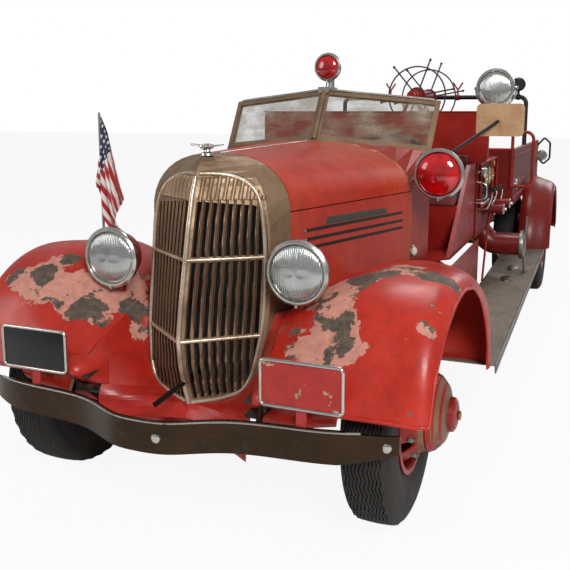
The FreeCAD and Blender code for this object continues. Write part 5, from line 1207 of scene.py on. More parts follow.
@dataclass
class Grille(Assembly):
    """Round-nosed bars, pressed flutes, mouldings, the finned apron behind and the winged ornament."""

    first: float = 0.0416
    pitch: float = 0.02758
    count: int = 8
    low: float = 0.60
    foot_drop: float = 0.045
    drop_until: float = 0.17
    rise_from: float = 0.20
    rise: float = 0.9
    slot_top: float = 1.345
    bar_radius: float = 0.0066
    bar_sunk: float = 0.0012
    flute_top: float = 1.440
    flute_fall_from: float = 0.09
    flute_fall: float = 3.0
    flute_radius: float = 0.0122
    flute_sunk: float = 0.0055
    step: float = 0.055
    smoothings: int = 6
    rim_radius: float = 0.0085
    ridge_radius: float = 0.0105
    ridge_low: float = 0.51
    ridge_step: float = 0.0715
    cross_heights: tuple[float, float] = (0.787, 1.110)
    cross_half: float = 0.265
    cross_radius: float = 0.0075
    seam_points: int = 10
    seam_out: float = 0.009
    seam_up: float = 0.007
    straight_from: float = 0.7
    ornament_station: float = -0.165
    ornament_lift: float = 0.030
    apron_top: Place = (0, -2.750, 0.845)
    apron_low: Place = (0, -3.015, 0.507)
    apron_waist: float = 0.72
    apron_halves: tuple[float, float, float] = (0.250, 0.246, 0.180)
    fins: int = 33
    fin_halves: tuple[float, float] = (0.246, 0.168)
    arch: tuple[tuple[float, float], ...] = (
        (0.012, 1.452), (0.06, 1.452), (0.11, 1.445), (0.16, 1.428), (0.20, 1.402), (0.226, 1.370),
        (0.246, 1.320), (0.260, 1.22), (0.268, 1.10), (0.271, 0.95), (0.268, 0.80), (0.252, 0.69),
        (0.236, 0.61), (0.205, 0.556), (0.12, 0.524), (0.012, 0.512),
    )

    def face(self, x: float, low: float, high: float, lift: float) -> list[Vector]:
        """Points up the shell's face, smoothed along their run.

        Args:
            x: the place across.
            low: the height of the first point.
            high: the height of the last point.
            lift: how far they stand proud of the sheet.

        Returns:
            The points from the lowest up.
        """
        steps = max(2, round((high - low) / self.step))
        points = []
        for i in range(steps + 1):
            z = low + (high - low) * i / steps
            points.append(ahead("grille_shell", x, z) - ALONG * lift)
        for _ in range(self.smoothings):
            middle = [(a.y + 2 * b.y + c.y) / 4 for a, b, c in zip(points, points[1:], points[2:])]
            for point, y in zip(points[1:-1], middle):
                point.y = y
        return points

    def bars(self) -> None:
        """The upright bars, and over each slot the flute pressed into the sheet."""
        made, flutes = [], []
        for i in range(self.count):
            x = self.first + self.pitch * i
            low = self.low + max(0.0, x - self.rise_from) * self.rise
            if x < self.drop_until:
                low = self.low - self.foot_drop
            line = self.face(x, low, self.slot_top + 0.004, -self.bar_sunk)
            made.append(self.bar(line, self.bar_radius))
        for i in range(self.count + 1):
            x = self.first + self.pitch * (i - 0.5)
            top = self.flute_top - max(0.0, x - self.flute_fall_from) ** 2 * self.flute_fall
            line = self.face(x, self.slot_top - 0.001, top - 0.004, -self.flute_sunk)
            flutes.append(self.bar(line, self.flute_radius, sides=5))
        self.done(self.both(made), "grille_bars", "bronze_bar", Slot.BRONZE)
        self.done(self.both(flutes), "grille_flutes", "bronze", Slot.BRONZE)

    def mouldings(self) -> None:
        """The frame moulding round the face, the ridge band, the cross bars and the dark seam."""
        rim = [ahead("grille_shell", x, z) - ALONG * 0.001 for x, z in self.arch]
        rows = self.both([self.bar(rim, self.rim_radius, bend=0.05, sides=5)])
        ridge = []
        for i in range(14):
            ridge.append(ahead("grille_shell", 0.0015, self.ridge_low + self.ridge_step * i) - ALONG * 0.001)
        rows.append(self.bar(ridge, self.ridge_radius))
        for z in self.cross_heights:
            half = []
            for i in range(9):
                half.append(ahead("grille_shell", 0.002 + self.cross_half * i / 8, z) - ALONG * 0.002)
            rows += self.both([self.bar(half, self.cross_radius)])
        self.done(rows, "grille_mouldings", "bronze_bright", Slot.BRONZE)
        seam = []
        for x, z in self.arch[:self.seam_points]:
            out = self.seam_out if z > self.straight_from else 0.0
            seam.append(ahead("grille_shell", x + out, z + self.seam_up))
        line = self.bar(seam, 0.0016, bend=0.05, sides=2)
        self.done(self.both([line]), "grille_seam", "black_gloss", Slot.BLACK)

    def ornament(self) -> None:
        """A small winged ornament on the shell's nose."""
        at = over("grille_shell", 0.0, front(self.ornament_station))
        foot = self.turned([(-0.006, 0.030), (0.004, 0.028), (0.010, 0.014), (0.024, 0.010)], at, UP, 24)
        drop = [(-0.05, 0), (-0.045, 0.010), (-0.02, 0.014), (0.02, 0.013), (0.05, 0.007), (0.07, 0)]
        body = self.turned(drop, at + UP * self.ornament_lift, ALONG, 24)
        outline = [(0.0, -0.030, 0.0), (0.030, -0.026, 0.003), (0.072, -0.012, 0.008), (0.078, 0.000, 0.009),
                   (0.070, 0.010, 0.008), (0.034, 0.020, 0.003), (0.0, 0.026, 0.0)]
        root = at + UP * (self.ornament_lift - 0.002)
        wing = self.shaped([root + Vector(p) for p in outline], UP * 0.006, 0.0012)
        self.done([foot, body, *self.both([wing])], "shell_ornament", "chrome_dull", Slot.CHROME)

    def guard(self) -> None:
        """The finned apron below the radiator, seen dark through the lower slots."""
        top, low = Vector(self.apron_top), Vector(self.apron_low)
        waist = top.lerp(low, self.apron_waist)
        wide, middle, narrow = [ACROSS * half for half in self.apron_halves]
        outline = [top - wide, top + wide, waist + middle, low + narrow, low - narrow, waist - middle]
        rows = [self.shaped(outline, Vector((0, 0.005, -0.004)), 0.001)]
        head, foot = self.fin_halves
        for i in range(self.fins):
            share = -1 + 2 * i / (self.fins - 1)
            ends = [top + ACROSS * head * share - ALONG * 0.002, low + ACROSS * foot * share - ALONG * 0.002]
            rows.append(self.bar(ends, 0.0030, sides=2))
        self.done(rows, "radiator_apron", "panel_black", Slot.BLACK)

    def build(self) -> None:
        """Builds the grille's dressing."""
        self.guard()
        self.bars()
        self.mouldings()
        self.ornament()


@dataclass
class HoodTrim(Assembly):
    """Pressed grooves drawn as dark strips of painted shade, with bright tips, a bare patch, the rear bead
    and the hinge strip of the hood.
    """

    grooves: tuple[tuple[float, float, float, float], ...] = (
        (0.040, 1.194, 0.900, 1.183), (0.045, 1.154, 0.905, 1.141), (0.090, 1.115, 0.910, 1.103),
    )
    groove_half: float = 0.0075
    patch: tuple[tuple[float, float], ...] = ((0.19, 1.203), (0.21, 1.238), (0.72, 1.226), (0.745, 1.196))
    out: Place = (0.969, -0.247, 0)
    sunk: float = 0.0005
    rear: float = 0.996
    bead_foot: float = 0.93
    bead_centre: float = 1.10
    bead_sweep: float = 98.0
    bead_steps: int = 24
    strip_start: float = -0.055
    strip_length: float = 1.035
    strip_steps: int = 14

    def on_side(self, station: float, z: float, lift: float) -> Vector:
        """A point on the left hood side, raised from the sheet."""
        return beside("hood_sides", Side.LEFT, front(station), z) + Vector(self.out) * lift

    def strips(self) -> None:
        """Dark strips in the pressed grooves that stand for their shade (painted shade), their tips and the
        bare patch above them.
        """
        out = Vector(self.out)
        dark, tips = [], []
        for a, az, b, bz in self.grooves:
            h = self.groove_half
            corners = [(a, az + h), (b, bz + h), (b, bz - h), (a, az - h)]
            outline = [self.on_side(station, z, -self.sunk) for station, z in corners]
            dark.append(self.shaped(outline, out * 0.0016, 0.0003))
            tip = [(-0.001, 0.0085), (0.004, 0.0075), (0.006, 0)]
            tips.append(self.turned(tip, self.on_side(a - 0.004, az, 0.0), out, 16))
        self.done(self.both(dark), "hood_grooves", "groove_dark", Slot.BLACK)
        self.done(self.both(tips), "hood_groove_tips", "chrome_dull", Slot.CHROME)
        corners = [self.on_side(station, z, -self.sunk) for station, z in self.patch]
        self.done([self.shaped(corners, out * 0.0012, 0.0002)], "hood_bare_patch", "patch_grey", Slot.BLACK)

    def beads(self) -> None:
        """The thin brass bead round the hood's rear edge, and the chrome strip along its hinge."""
        y = front(self.rear)
        points = []
        for i in range(self.bead_steps + 1):
            turn = math.pi / 2 - math.radians(self.bead_sweep) * i / self.bead_steps
            way = Vector((math.cos(turn), 0, math.sin(turn)))
            start = Vector((0, y, self.bead_centre)) + way * RAY_SIDE
            points.append(touch(["cowl"], start, -way)[0] - way * 0.001)
        points.append(beside("cowl", Side.LEFT, y, self.bead_foot))
        half = self.bar(points, 0.0036, sides=3)
        self.done(self.both([half]), "hood_rear_bead", "brass_old", Slot.BRASS)
        crest = []
        for i in range(self.strip_steps + 1):
            station = self.strip_start + self.strip_length * i / self.strip_steps
            crest.append(over("hood_hinge", 0.0, front(station)) + UP * 0.0006)
        self.done([self.bar(crest, 0.0045, sides=3)], "hood_hinge_strip", "chrome_dull", Slot.CHROME)

    def build(self) -> None:
        """Builds the hood's trim."""
        self.strips()
        self.beads()


@dataclass
class Lamp(Assembly):
    """One round lamp's glass and rim, seated on the front of its CAD bucket."""

    name: str
    at: Place
    radius: float
    glass: str
    crown: float = 0.030
    flutes: float = 0.0
    flute_depth: float = 0.0012
    glass_share: float = 0.90
    steps: int = 64

    def build(self) -> None:
        """Builds the glass and the rolled rim."""
        r = self.radius
        centre = Vector(self.at)
        wide = r * self.glass_share
        rings = [(-0.001, wide)]
        for i in range(1, 9):
            turn = i / 9 * math.pi / 2
            rings.append((self.crown * math.sin(turn), wide * math.cos(turn)))
        rings.append((self.crown, 0.0))
        glass = self.turned(rings, centre, -ALONG, self.steps)
        if self.flutes:
            for vertex in glass.data.vertices:
                if abs(vertex.co.y - centre.y) > 0.004:
                    vertex.co.y += self.flute_depth * math.cos((vertex.co.x - centre.x) * self.flutes)
        self.done([glass], f"{self.name}_glass", self.glass, Slot.PANE, "chassis", 60.0)
        profile = [(-0.016, r + 0.001), (-0.014, r + 0.006), (-0.004, r + 0.009), (0.006, r + 0.007),
                   (0.013, r - 0.002), (0.013, r * 0.93), (0.007, wide), (-0.0005, r * 0.895)]
        rim = self.turned(profile, centre, -ALONG, self.steps)
        foot = centre - UP * r
        low, high = foot + Vector((-0.006, -0.012, -0.015)), foot + Vector((0.006, 0.008, -0.003))
        screw = self.slab(low, high)
        self.done([rim, screw], f"{self.name}_rim", "chrome_dull", Slot.CHROME)


@dataclass
class Lamps(Assembly):
    """Every lamp's glass, rim and small fittings."""

    head: Place = (0.440, front(-0.253), 1.071)
    siren: Place = (0.765, front(0.900), 1.392)
    beacon: Place = (0.0, front(1.330), 1.975)
    spot: Place = (0.862, front(2.262), 1.878)
    yoke_radius: float = 0.136
    screw_out: float = 0.118
    dome: tuple[float, float] = (-1.666, 0.954)
    tail_across: float = 0.938
    tail_height: float = 1.25

    def build(self) -> None:
        """Builds the lamps."""
        for side in Side:
            x, y, z = self.head
            name = f"headlamp_{side.word}"
            Lamp(self.finishes, name, (side * x, y, z), 0.127, "lens_clear", flutes=300.0).build()
        Lamp(self.finishes, "siren_lamp", self.siren, 0.125, "lens_red", crown=0.045).build()
        Lamp(self.finishes, "beacon_lamp", self.beacon, 0.075, "lens_red").build()
        Lamp(self.finishes, "spot_lamp", self.spot, 0.120, "lens_clear", crown=0.026).build()
        self.yoke()
        self.domed_covers()
        self.tails()

    def yoke(self) -> None:
        """The spot lamp's round yoke and its swivel screws."""
        centre = Vector(self.spot) + ALONG * 0.045
        points = []
        for i in range(19):
            turn = math.radians(-180 + 180 * i / 18)
            points.append(centre + Vector((math.cos(turn), 0, math.sin(turn))) * self.yoke_radius)
        rows = [self.bar(points, 0.006)]
        screw = [(0.0, 0.012), (0.022, 0.012), (0.026, 0.008), (0.03, 0)]
        for side in Side:
            rows.append(self.turned(screw, centre + ACROSS * side * self.screw_out, ACROSS * side, 16))
        stem = [(0.0, 0.016), (0.03, 0.016), (0.034, 0.011), (0.055, 0.011)]
        rows.append(self.turned(stem, centre - UP * 0.19, UP, 16))
        self.done(rows, "spot_lamp_yoke", "chrome_dull", Slot.CHROME)

    def domed_covers(self) -> None:
        """The small pale dome covers low on the cowl's sides."""
        dome = [(-0.004, 0.027), (0.012, 0.025), (0.022, 0.014), (0.026, 0)]
        ring = [(-0.006, 0.034), (0.002, 0.034), (0.006, 0.030), (0.006, 0.027)]
        for side in Side:
            at = beside("cowl", side, *self.dome)
            name = f"cowl_{side.word}_dome"
            self.done([self.turned(dome, at, ACROSS * side, 28)], name, "dial_face", Slot.PANE)
            self.done([self.turned(ring, at, ACROSS * side, 28)], f"{name}_ring", "chrome_dull", Slot.CHROME)

    def tails(self) -> None:
        """Red glasses and bright rings of the tail lamps."""
        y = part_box("tail_lamps")[1][1]
        glass = [(-0.001, 0.052), (0.007, 0.047), (0.013, 0.03), (0.016, 0)]
        ring = [(-0.012, 0.061), (0.002, 0.0615), (0.008, 0.057), (0.008, 0.051), (0.0, 0.050)]
        for side in Side:
            at = Vector((side * self.tail_across, y, self.tail_height))
            name = f"tail_{side.word}"
            self.done([self.turned(glass, at, ALONG, 32)], f"{name}_glass", "lens_red", Slot.PANE)
            self.done([self.turned(ring, at, ALONG, 32)], f"{name}_ring", "chrome_dull", Slot.CHROME)


@dataclass
class FenderEdges(Assembly):
    """Rolled beads round the fenders, the sheets between them, plate rims and bolt heads."""

    arch: tuple[tuple[float, float, float], ...] = (
        (35, 1.036, 0.526), (55, 1.044, 0.530), (75, 1.054, 0.530), (90, 1.061, 0.530), (110, 1.071, 0.532),
        (130, 1.081, 0.534), (148, 1.090, 0.536), (163, 1.096, 0.537), (176, 1.0975, 0.538),
    )
    front_row: tuple[tuple[float, float], ...] = (
        (0.430, 0.555), (0.600, 0.556), (0.760, 0.552), (0.920, 0.545), (1.010, 0.538), (1.034, 0.524),
    )
    front_angle: float = 16.0
    bead_radius: float = 0.0062
    plate_across: float = 0.59
    plate_half: float = 0.158
    plate_station: float = -0.590
    plate_low: float = 0.652
    plate_high: float = 0.823
    bumper_bolts: tuple[float, ...] = (-0.885, 0.078, 0.885)
    bumper_middle: float = 0.520
    bumper_crest: float = 0.572
    crest_half: float = 0.800
    sheet_gauge: float = 0.003
    apron_outer: tuple[Place, ...] = (
        (0.715, -3.232, 0.632), (0.64, -3.243, 0.630), (0.56, -3.243, 0.635), (0.49, -3.240, 0.648),
    )
    apron_inner: tuple[Place, ...] = (
        (0.700, -3.222, 0.575), (0.60, -3.236, 0.560), (0.48, -3.232, 0.545), (0.352, -3.208, 0.520),
    )
    closer_top: tuple[Place, Place] = ((0.470, -3.236, 0.714), (0.345, -3.132, 0.706))
    closer_foot: tuple[Place, Place] = ((0.470, -3.247, 0.636), (0.322, -3.166, 0.580))
    closer_swell: float = 0.090
    lip_columns: int = 40
    lip_half: float = 0.335
    lip_height: float = 0.520
    lip_drop: float = 0.145

    @staticmethod
    def round_wheel(x: float, radius: float, phi: float, axle: float) -> Vector:
        """A point at an angle round an axle, 0 in front and 90 above."""
        turn = math.radians(phi)
        return Vector((x, axle - radius * math.cos(turn), AXLE_HEIGHT + radius * math.sin(turn)))

    def beads(self) -> None:
        """Beads along the edges of all four fenders."""
        foot = [self.round_wheel(x, r, self.front_angle, FRONT_AXLE) for x, r in self.front_row]
        edge = [self.round_wheel(x, r, phi, FRONT_AXLE) for phi, x, r in self.arch]
        rim = self.bar(foot + edge, self.bead_radius, bend=0.05)
        self.done(self.both([rim]), "front_fender_beads", "fender_red", Slot.FENDER)
        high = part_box("rear_fenders")[1]
        radius = high[2] - AXLE_HEIGHT - 0.092
        points = []
        for i in range(22):
            points.append(self.round_wheel(high[0] - 0.002, radius, 4.0 + 164.0 * i / 21, REAR_AXLE))
        self.done(self.both([self.bar(points, 0.0065)]), "rear_fender_beads", "body_red", Slot.BODY)

    def plates(self) -> None:
        """Bright rims round the blank plates, and the right plate's dark face."""
        y = front(self.plate_station)
        rows = []
        for side in Side:
            x0, x1 = side * self.plate_across - self.plate_half, side * self.plate_across + self.plate_half
            loop = [(x0, y, self.plate_low), (x1, y, self.plate_low), (x1, y, self.plate_high),
                    (x0, y, self.plate_high)]
            rows.append(self.bar(loop, 0.0065, bend=0.02, loop=True))
        self.done(rows, "plate_rims", "chrome_dull", Slot.CHROME)
        edge = 0.008
        low = (-self.plate_across - self.plate_half + edge, y - 0.0018, self.plate_low + edge)
        high = (-self.plate_across + self.plate_half - edge, y + 0.001, self.plate_high - edge)
        self.done([self.slab(low, high, 0.0008)], "plate_right_face", "plate_black", Slot.PLATE)

    def bolts(self) -> None:
        """Round bolt heads on the bumper and the horns, and a bright chrome strip along the bumper's upper
        edge that stands in for its highlight: a painted highlight.
        """
        places = [(ahead("bumper", x, self.bumper_middle), -ALONG) for x in self.bumper_bolts]
        self.done(self.domes(places, 0.019, 0.012, 20), "bumper_bolts", "chrome_dull", Slot.CHROME)
        # Painted highlight: a bright chrome strip laid along the bumper's top edge
        crest = []
        for i in range(37):
            x = -self.crest_half + 2 * self.crest_half * i / 36
            crest.append(ahead("bumper", x, self.bumper_crest) + Vector((0, 0.003, 0.006)))
        self.done([self.bar(crest, 0.0045, sides=3)], "bumper_edge", "chrome_dull", Slot.CHROME)
        places = [(beside("frame_rails", side, front(-0.53), 0.61), ACROSS * side) for side in Side]
        self.done(self.domes(places, 0.017, 0.016, 12), "horn_bolts", "steel_bare", Slot.STEEL)

    def apron(self, u: float, v: float) -> Vector:
        """A point of the sheet under a plate, from its shares across and down."""
        spot = u * 3
        i = min(2, int(spot))
        top = Vector(self.apron_outer[i]).lerp(Vector(self.apron_outer[i + 1]), spot - i)
        low = Vector(self.apron_inner[i]).lerp(Vector(self.apron_inner[i + 1]), spot - i)
        return top.lerp(low, v) - ALONG * 0.010 * math.sin(math.pi * v)

    def closer(self, u: float, v: float) -> Vector:
        """A point of the swollen sheet beside a horn, from its shares across and down."""
        high = Vector(self.closer_top[0]).lerp(Vector(self.closer_top[1]), u)
        low = Vector(self.closer_foot[0]).lerp(Vector(self.closer_foot[1]), u)
        swell = self.closer_swell * math.sin(math.pi * u) * (0.4 + 0.6 * math.sin(math.pi * v))
        return high.lerp(low, v) - ALONG * swell

    def aprons(self) -> None:
        """Sheets that carry the valance out to the fenders, under the plates, and its lower lip."""
        rows = self.both([self.sheet(12, 6, self.apron, self.sheet_gauge)])
        rows += self.both([self.sheet(8, 8, self.closer, self.sheet_gauge)])
        edge = []
        for i in range(self.lip_columns + 1):
            x = -self.lip_half + 2 * self.lip_half * i / self.lip_columns
            start = Vector((x, RAY_FRONT, self.lip_height))
            edge.append(touch(["front_fenders", "grille_shell"], start, ALONG)[0])

        def lip(u: float, v: float) -> Vector:
            """A point of the lip, from its shares across and down."""
            return edge[round(u * self.lip_columns)] + Vector((0, 0.002 - 0.02 * v, -self.lip_drop * v))

        rows.append(self.sheet(self.lip_columns, 4, lip, self.sheet_gauge))
        self.done(rows, "front_aprons", "fender_red", Slot.FENDER)

    def build(self) -> None:
        """Builds the edges and small fittings in front."""
        self.aprons()
        self.beads()
        self.plates()
        self.bolts()


@dataclass
class Wheels(Assembly):
    """Hub covers, caps, hub nuts and wheel nuts."""

    cover_radii: tuple[float, ...] = (0.155, 0.135, 0.11, 0.088, 0.076)
    cover_edge: float = 0.166
    cap_radii: tuple[float, ...] = (0.072, 0.06, 0.04, 0.02, 0.0)
    front_circle: float = 0.186
    rear_circle: float = 0.120
    count: int = 10

    @staticmethod
    def hub_face(node: str, side: Side, r: float) -> float:
        """How far out a front wheel's face lies at a height above its centre."""
        return abs(beside(node, side, FRONT_AXLE, AXLE_HEIGHT + r).x)

    def hub(self, side: Side) -> None:
        """The front wheel's bronze cover, red cap and brass nut, following the CAD hub.

        Args:
            side: the wheel's side.
        """
        node, body = f"wheel_front_{side.word}", f"front_{side.word}_wheel"
        centre, out = Vector((0, FRONT_AXLE, AXLE_HEIGHT)), ACROSS * side
        rim = self.hub_face(node, side, self.cover_edge * 0.9999) + 0.0012
        profile = [(rim - 0.03, 0.168), (rim - 0.004, 0.168)]
        profile += [(self.hub_face(node, side, r * 0.9999) + 0.0012, r) for r in self.cover_radii]
        cover = self.turned(profile, centre, out, 56)
        self.done([cover], f"hub_cover_front_{side.word}", "bronze_hub", Slot.BRONZE, body)
        inner = []
        for r in self.cap_radii:
            crown = 0.004 * (1 - r / self.cap_radii[0])
            inner.append((self.hub_face(node, side, r + 0.0003) + 0.0015 + crown, r))
        skirt = [(inner[0][0] - 0.03, 0.0735), (inner[0][0] - 0.004, 0.0735)]
        cap = self.turned(skirt + inner[1:], centre, out, 40)
        self.done([cap], f"hub_cap_front_{side.word}", "body_red", Slot.BODY, body)
        nut = [(0.014, 0.0), (0.014, 0.018), (0.020, 0.022), (0.026, 0.018), (0.026, 0.0)]
        ring = self.turned(nut, centre + out * (inner[-1][0] - 0.018), out, 6)
        self.done([ring], f"hub_nut_front_{side.word}", "brass_old", Slot.BRASS, body)

    def nuts(self, node: str, body: str, side: Side, axle: float, radius: float) -> None:
        """A ring of wheel nuts seated on a wheel's disc.

        Args:
            node: the wheel's CAD node.
            body: the CAD body that the nuts turn with.
            side: the wheel's side.
            axle: its axle's Y.
            radius: the bolt circle's radius.
        """
        profile = [(-0.004, 0.014), (0.012, 0.014), (0.016, 0.011), (0.018, 0.0065), (0.026, 0.006),
                   (0.027, 0)]
        moves = []
        for i in range(self.count):
            turn = math.radians(360 / self.count * (i + 0.5))
            spot = beside(node, side, axle + radius * math.cos(turn), AXLE_HEIGHT + radius * math.sin(turn))
            moves.append(Matrix.Translation(spot) @ self.facing(ACROSS * side))
        rows = self.repeated(self.turned(profile, Vector(), UP, 6), moves)
        self.done(rows, f"{node}_nuts", "steel_bare", Slot.STEEL, body)

    def build(self) -> None:
        """Dresses all the wheels."""
        for side in Side:
            word = side.word
            self.hub(side)
            self.nuts(f"wheel_front_{word}", f"front_{word}_wheel", side, FRONT_AXLE, self.front_circle)
            self.nuts(f"wheel_rear_{word}", f"rear_{word}_wheels", side, REAR_AXLE, self.rear_circle)


@dataclass
class Boards(Assembly):
    """Ribs, edge strips and step domes of the running boards, ribs of the tailboard and the bed's slats."""

    inner: float = 0.815
    outer: float = 1.118
    top: float = 0.500
    ribs: int = 15
    dome_across: float = 0.96
    dome_stations: tuple[float, float] = (2.62, 3.05)
    tail_half: float = 0.93
    tail_ribs: int = 9
    tail_pitch: float = 0.036
    slats: int = 15
    slat_pitch: float = 0.1186

    def build(self) -> None:
        """Builds the boards' dressing."""
        y0, y1, top = front(0.70), rear(-0.66), self.top
        first = self.slab((self.inner, y0, top - 0.001), (self.inner + 0.006, y1, top + 0.0035), 0.0015)
        pitch = (self.outer - self.inner - 0.02) / (self.ribs - 1)
        ribs = self.repeated(first, [Matrix.Translation((pitch * i, 0, 0)) for i in range(self.ribs)])
        self.done(self.both(ribs), "board_ribs", "board_tread", Slot.BOARD)
        edge = self.slab((1.121, y0 - 0.08, top - 0.036), (1.1325, y1 + 0.05, top + 0.006), 0.003)
        rows = self.both([edge])
        inner = self.slab((0.797, y0, top - 0.001), (0.809, y1, top + 0.006), 0.002)
        rows += self.both([inner])
        self.done(rows, "board_edges", "steel_bare", Slot.STEEL)
        dome = self.turned([(-0.002, 0.06), (0.010, 0.054), (0.018, 0.03), (0.020, 0)], Vector(), UP, 28)
        long = Matrix.Diagonal((0.8, 1.7, 1, 1))
        moves = [Matrix.Translation((self.dome_across, front(s), top)) @ long for s in self.dome_stations]
        self.done(self.both(self.repeated(dome, moves)), "board_step_domes", "steel_bare", Slot.STEEL)
        self.tail()

    def tail(self) -> None:
        """Cross ribs on the tailboard and slats in the hose bed."""
        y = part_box("tailboard")[0][1] + 0.10
        first = self.slab((-self.tail_half, y, 0.529), (self.tail_half, y + 0.012, 0.534), 0.0015)
        moves = [Matrix.Translation((0, self.tail_pitch * i, 0)) for i in range(self.tail_ribs)]
        rows = self.repeated(first, moves)
        self.done(rows, "tailboard_ribs", "board_tread", Slot.BOARD)
        first = self.slab((-0.86, 0.70, 0.984), (-0.80, rear(1.36), 0.997), 0.003)
        moves = [Matrix.Translation((self.slat_pitch * i, 0, 0)) for i in range(self.slats)]
        rows = self.repeated(first, moves)
        self.done(rows, "hose_bed_slats", "timber_old", Slot.BOARD)


@dataclass
class Windshield(Assembly):
    """Bright strips along the windshield frame's top edge."""

    start: float = 0.03
    length: float = 0.59
    steps: int = 8
    radius: float = 0.008

    @staticmethod
    def crest(x: float) -> Vector:
        """The highest point of the windshield frame at a place across."""
        best = None
        for i in range(120):
            y = front(1.05) + 0.005 * i
            hit, point, _, _ = frame["nodes"]["windshield_frame"].ray_cast(Vector((x, y, RAY_TOP)), -UP)
            if hit and (best is None or point.z > best.z):
                best = point.copy()
        return best

    def build(self) -> None:
        """Builds the strips."""
        top = []
        for i in range(self.steps + 1):
            top.append(self.crest(self.start + self.length * i / self.steps) + UP * 0.001)
        strip = self.bar(top, self.radius)
        self.done(self.both([strip]), "windshield_top_strips", "steel_bare", Slot.STEEL)


@dataclass
class Cab(Assembly):
    """Cushions, controls and instruments of the open cab."""

    seat_top: float = 1.26
    swell: float = 0.016
    seam: float = 0.008
    channel: float = 0.006
    channels: int = 4
    pull: float = 0.010
    side_from: float = 0.96
    dials: tuple[tuple[float, float], ...] = ((-0.10, 0.045), (0.0, 0.055), (0.10, 0.045), (0.21, 0.035))
    dial_station: float = 1.275
    dial_height: float = 1.44
    pedals: tuple[float, ...] = (0.26, 0.36, 0.50)
    floor_top: float = 0.862

    def cushion(self, name: str, low: Sequence[float], high: Sequence[float], rise: Rise) -> None:
        """One crowned pad, tight at its seams.

        Args:
            name: its name.
            low: its lowest corner.
            high: its highest corner.
            rise: the axis it swells along.
        """
        pad = self.slab(low, high, 0.018, 3)
        self.clear()
        pad.select_set(True)
        bpy.context.view_layer.objects.active = pad
        self.opened()
        bpy.ops.mesh.subdivide(number_cuts=9, smoothness=0.0)
        bpy.ops.object.mode_set(mode="OBJECT")
        other = Rise.FORWARDS if rise is Rise.UP else Rise.UP
        for vertex in pad.data.vertices:
            u = (vertex.co.x - low[0]) / (high[0] - low[0]) * 2 - 1
            v = (vertex.co[other] - low[other]) / (high[other] - low[other]) * 2 - 1
            w = (vertex.co[rise] - low[rise]) / (high[rise] - low[rise])
            if rise is Rise.FORWARDS:
                w = 1 - w
            crown = (1 - u**4) * (1 - v**4)
            channel = self.channel * abs(math.cos(u * math.pi * self.channels)) ** 0.5
            swell = (self.swell * crown - self.seam + channel * crown) * w
            vertex.co[rise] += swell if rise is Rise.UP else -swell
            if abs(u) > self.side_from:
                vertex.co.x -= self.pull * (1 - v * v) * (1 if u > 0 else -1)
        self.done([pad], name, "seat_red", Slot.LEATHER, "chassis", 60.0)
        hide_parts("seat_cushions")
        y, z = low[1] + 0.002, high[2] - 0.008
        if rise is Rise.UP:
            y, z = low[1] + 0.004, high[2] - 0.006
        welt = self.bar([(low[0] + 0.01, y, z), (high[0] - 0.01, y, z)], 0.0055)
        self.done([welt], f"{name}_welt", "seat_red", Slot.LEATHER)

    def controls(self) -> None:
        """Gear lever, hand brake and pedals."""
        lever = [(0.02, front(1.62), self.floor_top), (0.02, front(1.60), 1.02), (0.05, front(1.68), 1.28)]
        brake = [(-0.10, front(1.60), self.floor_top), (-0.10, front(1.66), 1.20)]
        knob = [(-0.022, 0), (-0.018, 0.014), (0, 0.022), (0.018, 0.014), (0.022, 0)]
        rows = [self.bar(lever, 0.009, bend=0.10, sides=5)]
        rows.append(self.turned(knob, Vector((0.05, front(1.68), 1.29)), UP, 20))
        rows.append(self.bar(brake, 0.008, sides=5))
        for x in self.pedals:
            at, half = Vector((x, front(1.33), 0.96)), Vector((0.032, 0.004, 0.036))
            rows.append(self.slab(at - half, at + half, 0.003))
            rows.append(self.bar([at, at + Vector((0, -0.02, -0.10))], 0.007))
        self.done(rows, "cab_controls", "black_gloss", Slot.BLACK)

    def instruments(self) -> None:
        """The dash's dials."""
        rims, faces = [], []
        for x, r in self.dials:
            at = Vector((x, front(self.dial_station), self.dial_height))
            rim = [(0.0, r + 0.006), (0.008, r + 0.006), (0.011, r + 0.002), (0.009, r - 0.002)]
            rims.append(self.turned(rim, at, ALONG, 28))
            faces.append(self.turned([(0.001, r), (0.0045, r - 0.002), (0.005, 0)], at, ALONG, 28))
        self.done(rims, "dash_dial_rims", "chrome_dull", Slot.CHROME)
        self.done(faces, "dash_dial_faces", "dial_face", Slot.PLATE)

    def build(self) -> None:
        """Builds the cab's dressing."""
        low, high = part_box("seat_cushions")
        seat_low = (low[0] + 0.004, low[1] + 0.004, low[2] + 0.001)
        seat_high = (high[0] - 0.004, high[1] - 0.115, self.seat_top - 0.004)
        self.cushion("seat_pad", seat_low, seat_high, Rise.UP)
        back_low = (low[0] + 0.004, high[1] - 0.112, self.seat_top + 0.006)
        back_high = (high[0] - 0.004, high[1] - 0.002, high[2] - 0.002)
        self.cushion("seat_back_pad", back_low, back_high, Rise.FORWARDS)
        self.controls()
        self.instruments()


